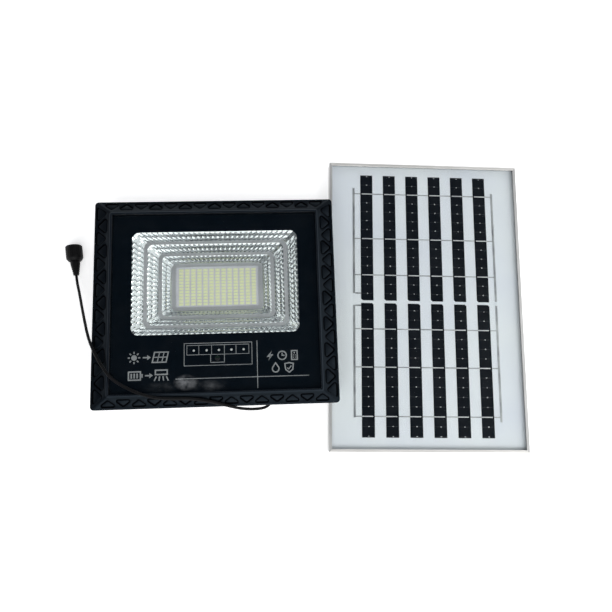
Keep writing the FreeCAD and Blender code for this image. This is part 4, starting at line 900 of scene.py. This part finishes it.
def make_chips():
    """White packages, each with a slightly domed window of phosphor."""
    shape = Shape()
    for column in range(CHIP_COLUMNS):
        for row in range(CHIP_ROWS):
            x = (column - (CHIP_COLUMNS - 1) / 2) * CHIP_PITCH_X
            y = BOWL_CENTRE + (row - (CHIP_ROWS - 1) / 2) * CHIP_PITCH_Y
            # Length, width, corner radius and height, from the board up and in to the window
            levels = [(CHIP_LENGTH, CHIP_WIDTH, 0.3, BOARD_TOP),
                      (CHIP_LENGTH, CHIP_WIDTH, 0.3, CHIP_TOP - 0.1),
                      (CHIP_LENGTH - 0.2, CHIP_WIDTH - 0.2, 0.25, CHIP_TOP),
                      (CHIP_LENGTH - 0.4, CHIP_WIDTH - 0.3, 0.4, CHIP_TOP),
                      (CHIP_LENGTH - 0.5, CHIP_WIDTH - 0.4, 0.4, CHIP_TOP - 0.08),
                      (CHIP_LENGTH - 2.2, CHIP_WIDTH - 1.6, 0.4, CHIP_TOP - 0.02)]
            rings = [shape.ring(rounded(length, width, corner, z, x, y, 2))
                     for length, width, corner, z in levels]
            for level, (first, second) in enumerate(zip(rings, rings[1:])):
                shape.bridge(first, second, tone=1 if level >= WINDOW_START else 0)
            shape.face(rings[-1], 1)
            shape.face(rings[0][::-1])
    shape.build("led_packages", "lamp", ["led_package", "led_phosphor"], "led_phosphor",
                ["led_chips"], crease=40)


make_chips()


# ---------------------------------------------------------------- the solar panel

PANEL = Matrix.Translation((0.24984, -0.00375, 0)) @ Matrix.Rotation(PANEL_YAW, 4, "Z")
CELL_LOW = 12.0
CELL_HIGH = 12.2
STRIP_COLUMNS = 6
STRIP_WIDTH = 15.1
STRIP_LENGTH = 158.75
STRIP_PITCH = 28.4
STRIP_GAP = 3.35
FIELD_CENTRE = 1.3
STRIP_CORNER = 1.9
# Heights of the ribbons and the solder pads above and below the field's middle
RIBBON_ROWS = (33.1, 78.7, 136.2)
PAD_ROWS = (10.2, 21.7, 44.5, 55.9, 67.3, 90.2, 101.7, 113.2, 124.7, 147.7, 159.0)
PAD_SHIFT = 0.4
PAD_RISE = 0.03
# A solder pad with a half-width below this is round
ROUND_PAD = 0.7
LINE_INSET = 0.4
LINE_HALF = 0.09
LINE_RISE = 0.01
RIBBON_HALF = 0.6
RIBBON_RISE = 0.15
# How far a ribbon stops short of its strip: at the left above the middle, at the right below
RIBBON_INSET_ABOVE = 1.7
RIBBON_INSET_BELOW = 1.9
BUS_X = 87.0
BUS_HALF = 1.25
# Side and row of each bus, and how far from the field's middle it starts and ends
BUSES = ((-1, 1, 10.3, 143.4), (-1, -1, 4.2, 137.4), (1, 1, 2.5, 140.3), (1, -1, 2.5, 141.9))
# The two tabs that join the left buses to the strips
TAB_ROWS = (11.6, -3.4)
TAB_HALF = 0.8
TAB_INSET = 1.4


def column_x(column):
    return (column - (STRIP_COLUMNS - 1) / 2) * STRIP_PITCH


def make_cells():
    cells, lines, pads = Shape(), Shape(), Shape()
    draw = random.Random(5)
    half = STRIP_WIDTH / 2
    for row, column in itertools.product((-1, 1), range(STRIP_COLUMNS)):
        x = column_x(column)
        near = FIELD_CENTRE + row * STRIP_GAP / 2
        far = near + row * STRIP_LENGTH
        # The corner at the field's middle that is cut: lower left above, upper right below
        side = -row
        outline = [(x - side * half, near), (x + side * (half - STRIP_CORNER), near),
                   (x + side * half, near + row * STRIP_CORNER), (x + side * half, far),
                   (x - side * half, far)]
        cells.prism(outline, CELL_LOW, CELL_HIGH)
        for height in PAD_ROWS + RIBBON_ROWS:
            y = FIELD_CENTRE + row * height
            line = box_outline(x - half + LINE_INSET, y - LINE_HALF,
                               x + half - LINE_INSET, y + LINE_HALF)
            lines.prism(line, CELL_HIGH, CELL_HIGH + LINE_RISE)
        for height in PAD_ROWS:
            y = FIELD_CENTRE + row * height + draw.uniform(-0.15, 0.15)
            wide, tall = draw.uniform(0.5, 0.85), draw.uniform(0.5, 0.75)
            spot = x + PAD_SHIFT + draw.uniform(-0.25, 0.25)
            if wide < ROUND_PAD:
                pad = circle(spot, y, tall, 10)
            else:
                pad = box_outline(spot - wide, y - tall / 1.6, spot + wide, y + tall / 1.6)
            pads.prism(pad, CELL_HIGH, CELL_HIGH + PAD_RISE)
    cells.build("cell_strips", "panel", ["cell_silicon"], "cell_silicon", ["solar_cells"],
                place=PANEL)
    lines.build("cell_lines", "panel", ["cell_line"], "ribbon_tin", place=PANEL)
    pads.build("cell_pads", "panel", ["ribbon_tin"], "ribbon_tin", place=PANEL)


def make_ribbons():
    """Ribbons that lie on each strip and dive under the next, and the side buses."""
    shape = Shape()
    half = STRIP_WIDTH / 2
    gap_half = STRIP_PITCH / 2 - half
    for row in (-1, 1):
        for height in RIBBON_ROWS:
            y = FIELD_CENTRE + row * height
            for column in range(STRIP_COLUMNS):
                x = column_x(column)
                left = x - half + (RIBBON_INSET_ABOVE if row > 0 else 0)
                right = x + half - (0 if row > 0 else RIBBON_INSET_BELOW)
                shape.prism(box_outline(left, y - RIBBON_HALF, right, y + RIBBON_HALF),
                            CELL_HIGH, CELL_HIGH + RIBBON_RISE)
            for gap in range(STRIP_COLUMNS + 1):
                x = (gap - STRIP_COLUMNS / 2) * STRIP_PITCH
                left = x - gap_half if gap > 0 else -BUS_X
                right = x + gap_half if gap < STRIP_COLUMNS else BUS_X
                # The runs between strips take the darker tin, painted shade
                shape.prism(box_outline(left, y - RIBBON_HALF, right, y + RIBBON_HALF),
                            CELL_LOW, CELL_HIGH, 1)
    # The buses and the tabs take the darker tin, painted shade
    for side, row, start, end in BUSES:
        x = side * BUS_X
        low, high = sorted((FIELD_CENTRE + row * start, FIELD_CENTRE + row * end))
        shape.prism(box_outline(x - BUS_HALF, low, x + BUS_HALF, high), CELL_LOW + 0.1,
                    CELL_HIGH + 0.05, 1)
    for y in TAB_ROWS:
        shape.prism(box_outline(-BUS_X + TAB_INSET, y - TAB_HALF, column_x(0) - half,
                                y + TAB_HALF), CELL_LOW, CELL_HIGH, 1)
    shape.build("cell_tabbing", "panel", ["ribbon_tin", "bus_tin"], "ribbon_tin",
                ["cell_ribbons"], place=PANEL)


make_cells()
make_ribbons()


# ---------------------------------------------------------------- studio


def make_floor():
    """A white table top just under everything, which glows a little like a lit backdrop."""
    mesh = bpy.data.meshes.new("floor")
    reach, level = 3.0, -0.0004
    mesh.from_pydata([(x * reach, y * reach, level) for x, y in CORNERS], [], [(0, 1, 2, 3)])
    floor = bpy.data.objects.new("floor", mesh)
    bpy.context.scene.collection.objects.link(floor)
    material = bpy.data.materials.new("floor")
    material.use_nodes = True
    shader = material.node_tree.nodes["Principled BSDF"]
    shader.inputs["Base Color"].default_value = (0.93, 0.93, 0.93, 1)
    shader.inputs["Roughness"].default_value = 0.9
    shader.inputs["Specular IOR Level"].default_value = 0.1
    shader.inputs["Emission Color"].default_value = (1, 1, 1, 1)
    shader.inputs["Emission Strength"].default_value = 0.55
    mesh.materials.append(material)


def make_light(name, place, target, size, power):
    """A white area light, its size in metres and its power in watts, that faces a target."""
    data = bpy.data.lights.new(name, "AREA")
    data.shape = "RECTANGLE"
    data.size, data.size_y = size
    data.energy = power
    light = bpy.data.objects.new(name, data)
    light.location = place
    aim = Vector(target) - Vector(place)
    light.rotation_euler = aim.to_track_quat("-Z", "Y").to_euler()
    bpy.context.scene.collection.objects.link(light)


def make_world():
    """A dim ceiling that brightens towards the horizon."""
    world = bpy.data.worlds.new("World")
    bpy.context.scene.world = world
    world.use_nodes = True
    tree = world.node_tree
    place = tree.nodes.new("ShaderNodeTexCoord")
    split = tree.nodes.new("ShaderNodeSeparateXYZ")
    link(tree, place.outputs["Generated"], split.inputs["Vector"])
    sky = ramp(tree, split.outputs["Z"], [
        (0.0, (0.80, 0.80, 0.82)), (0.3, (0.72, 0.72, 0.74)), (0.42, (0.3, 0.3, 0.31)),
        (0.58, (0.10, 0.105, 0.12)), (0.85, (0.022, 0.03, 0.042)), (1.0, (0.012, 0.02, 0.032)),
    ])
    link(tree, sky, tree.nodes["Background"].inputs["Color"])
    tree.nodes["Background"].inputs["Strength"].default_value = 1.0


make_floor()
make_light("key", (1.65, -0.45, 1.0), (0.1, 0, 0), (3.4, 2.0), 28)
make_light("low", (0.05, -1.2, 1.5), (0.1, 0, 0), (2.0, 1.3), 22)
make_light("back", (0.0, 1.5, 0.7), (0, 0, 0), (1.8, 0.5), 5.5)
make_light("high", (1.96, 0.3, 2.39), (0.1, 0, 0), (0.5, 0.5), 6)
make_light("left", (-1.5, 0.25, 0.62), (0, 0, 0), (1.0, 0.5), 2.5)
make_world()
bpy.context.scene.view_settings.view_transform = "Standard"
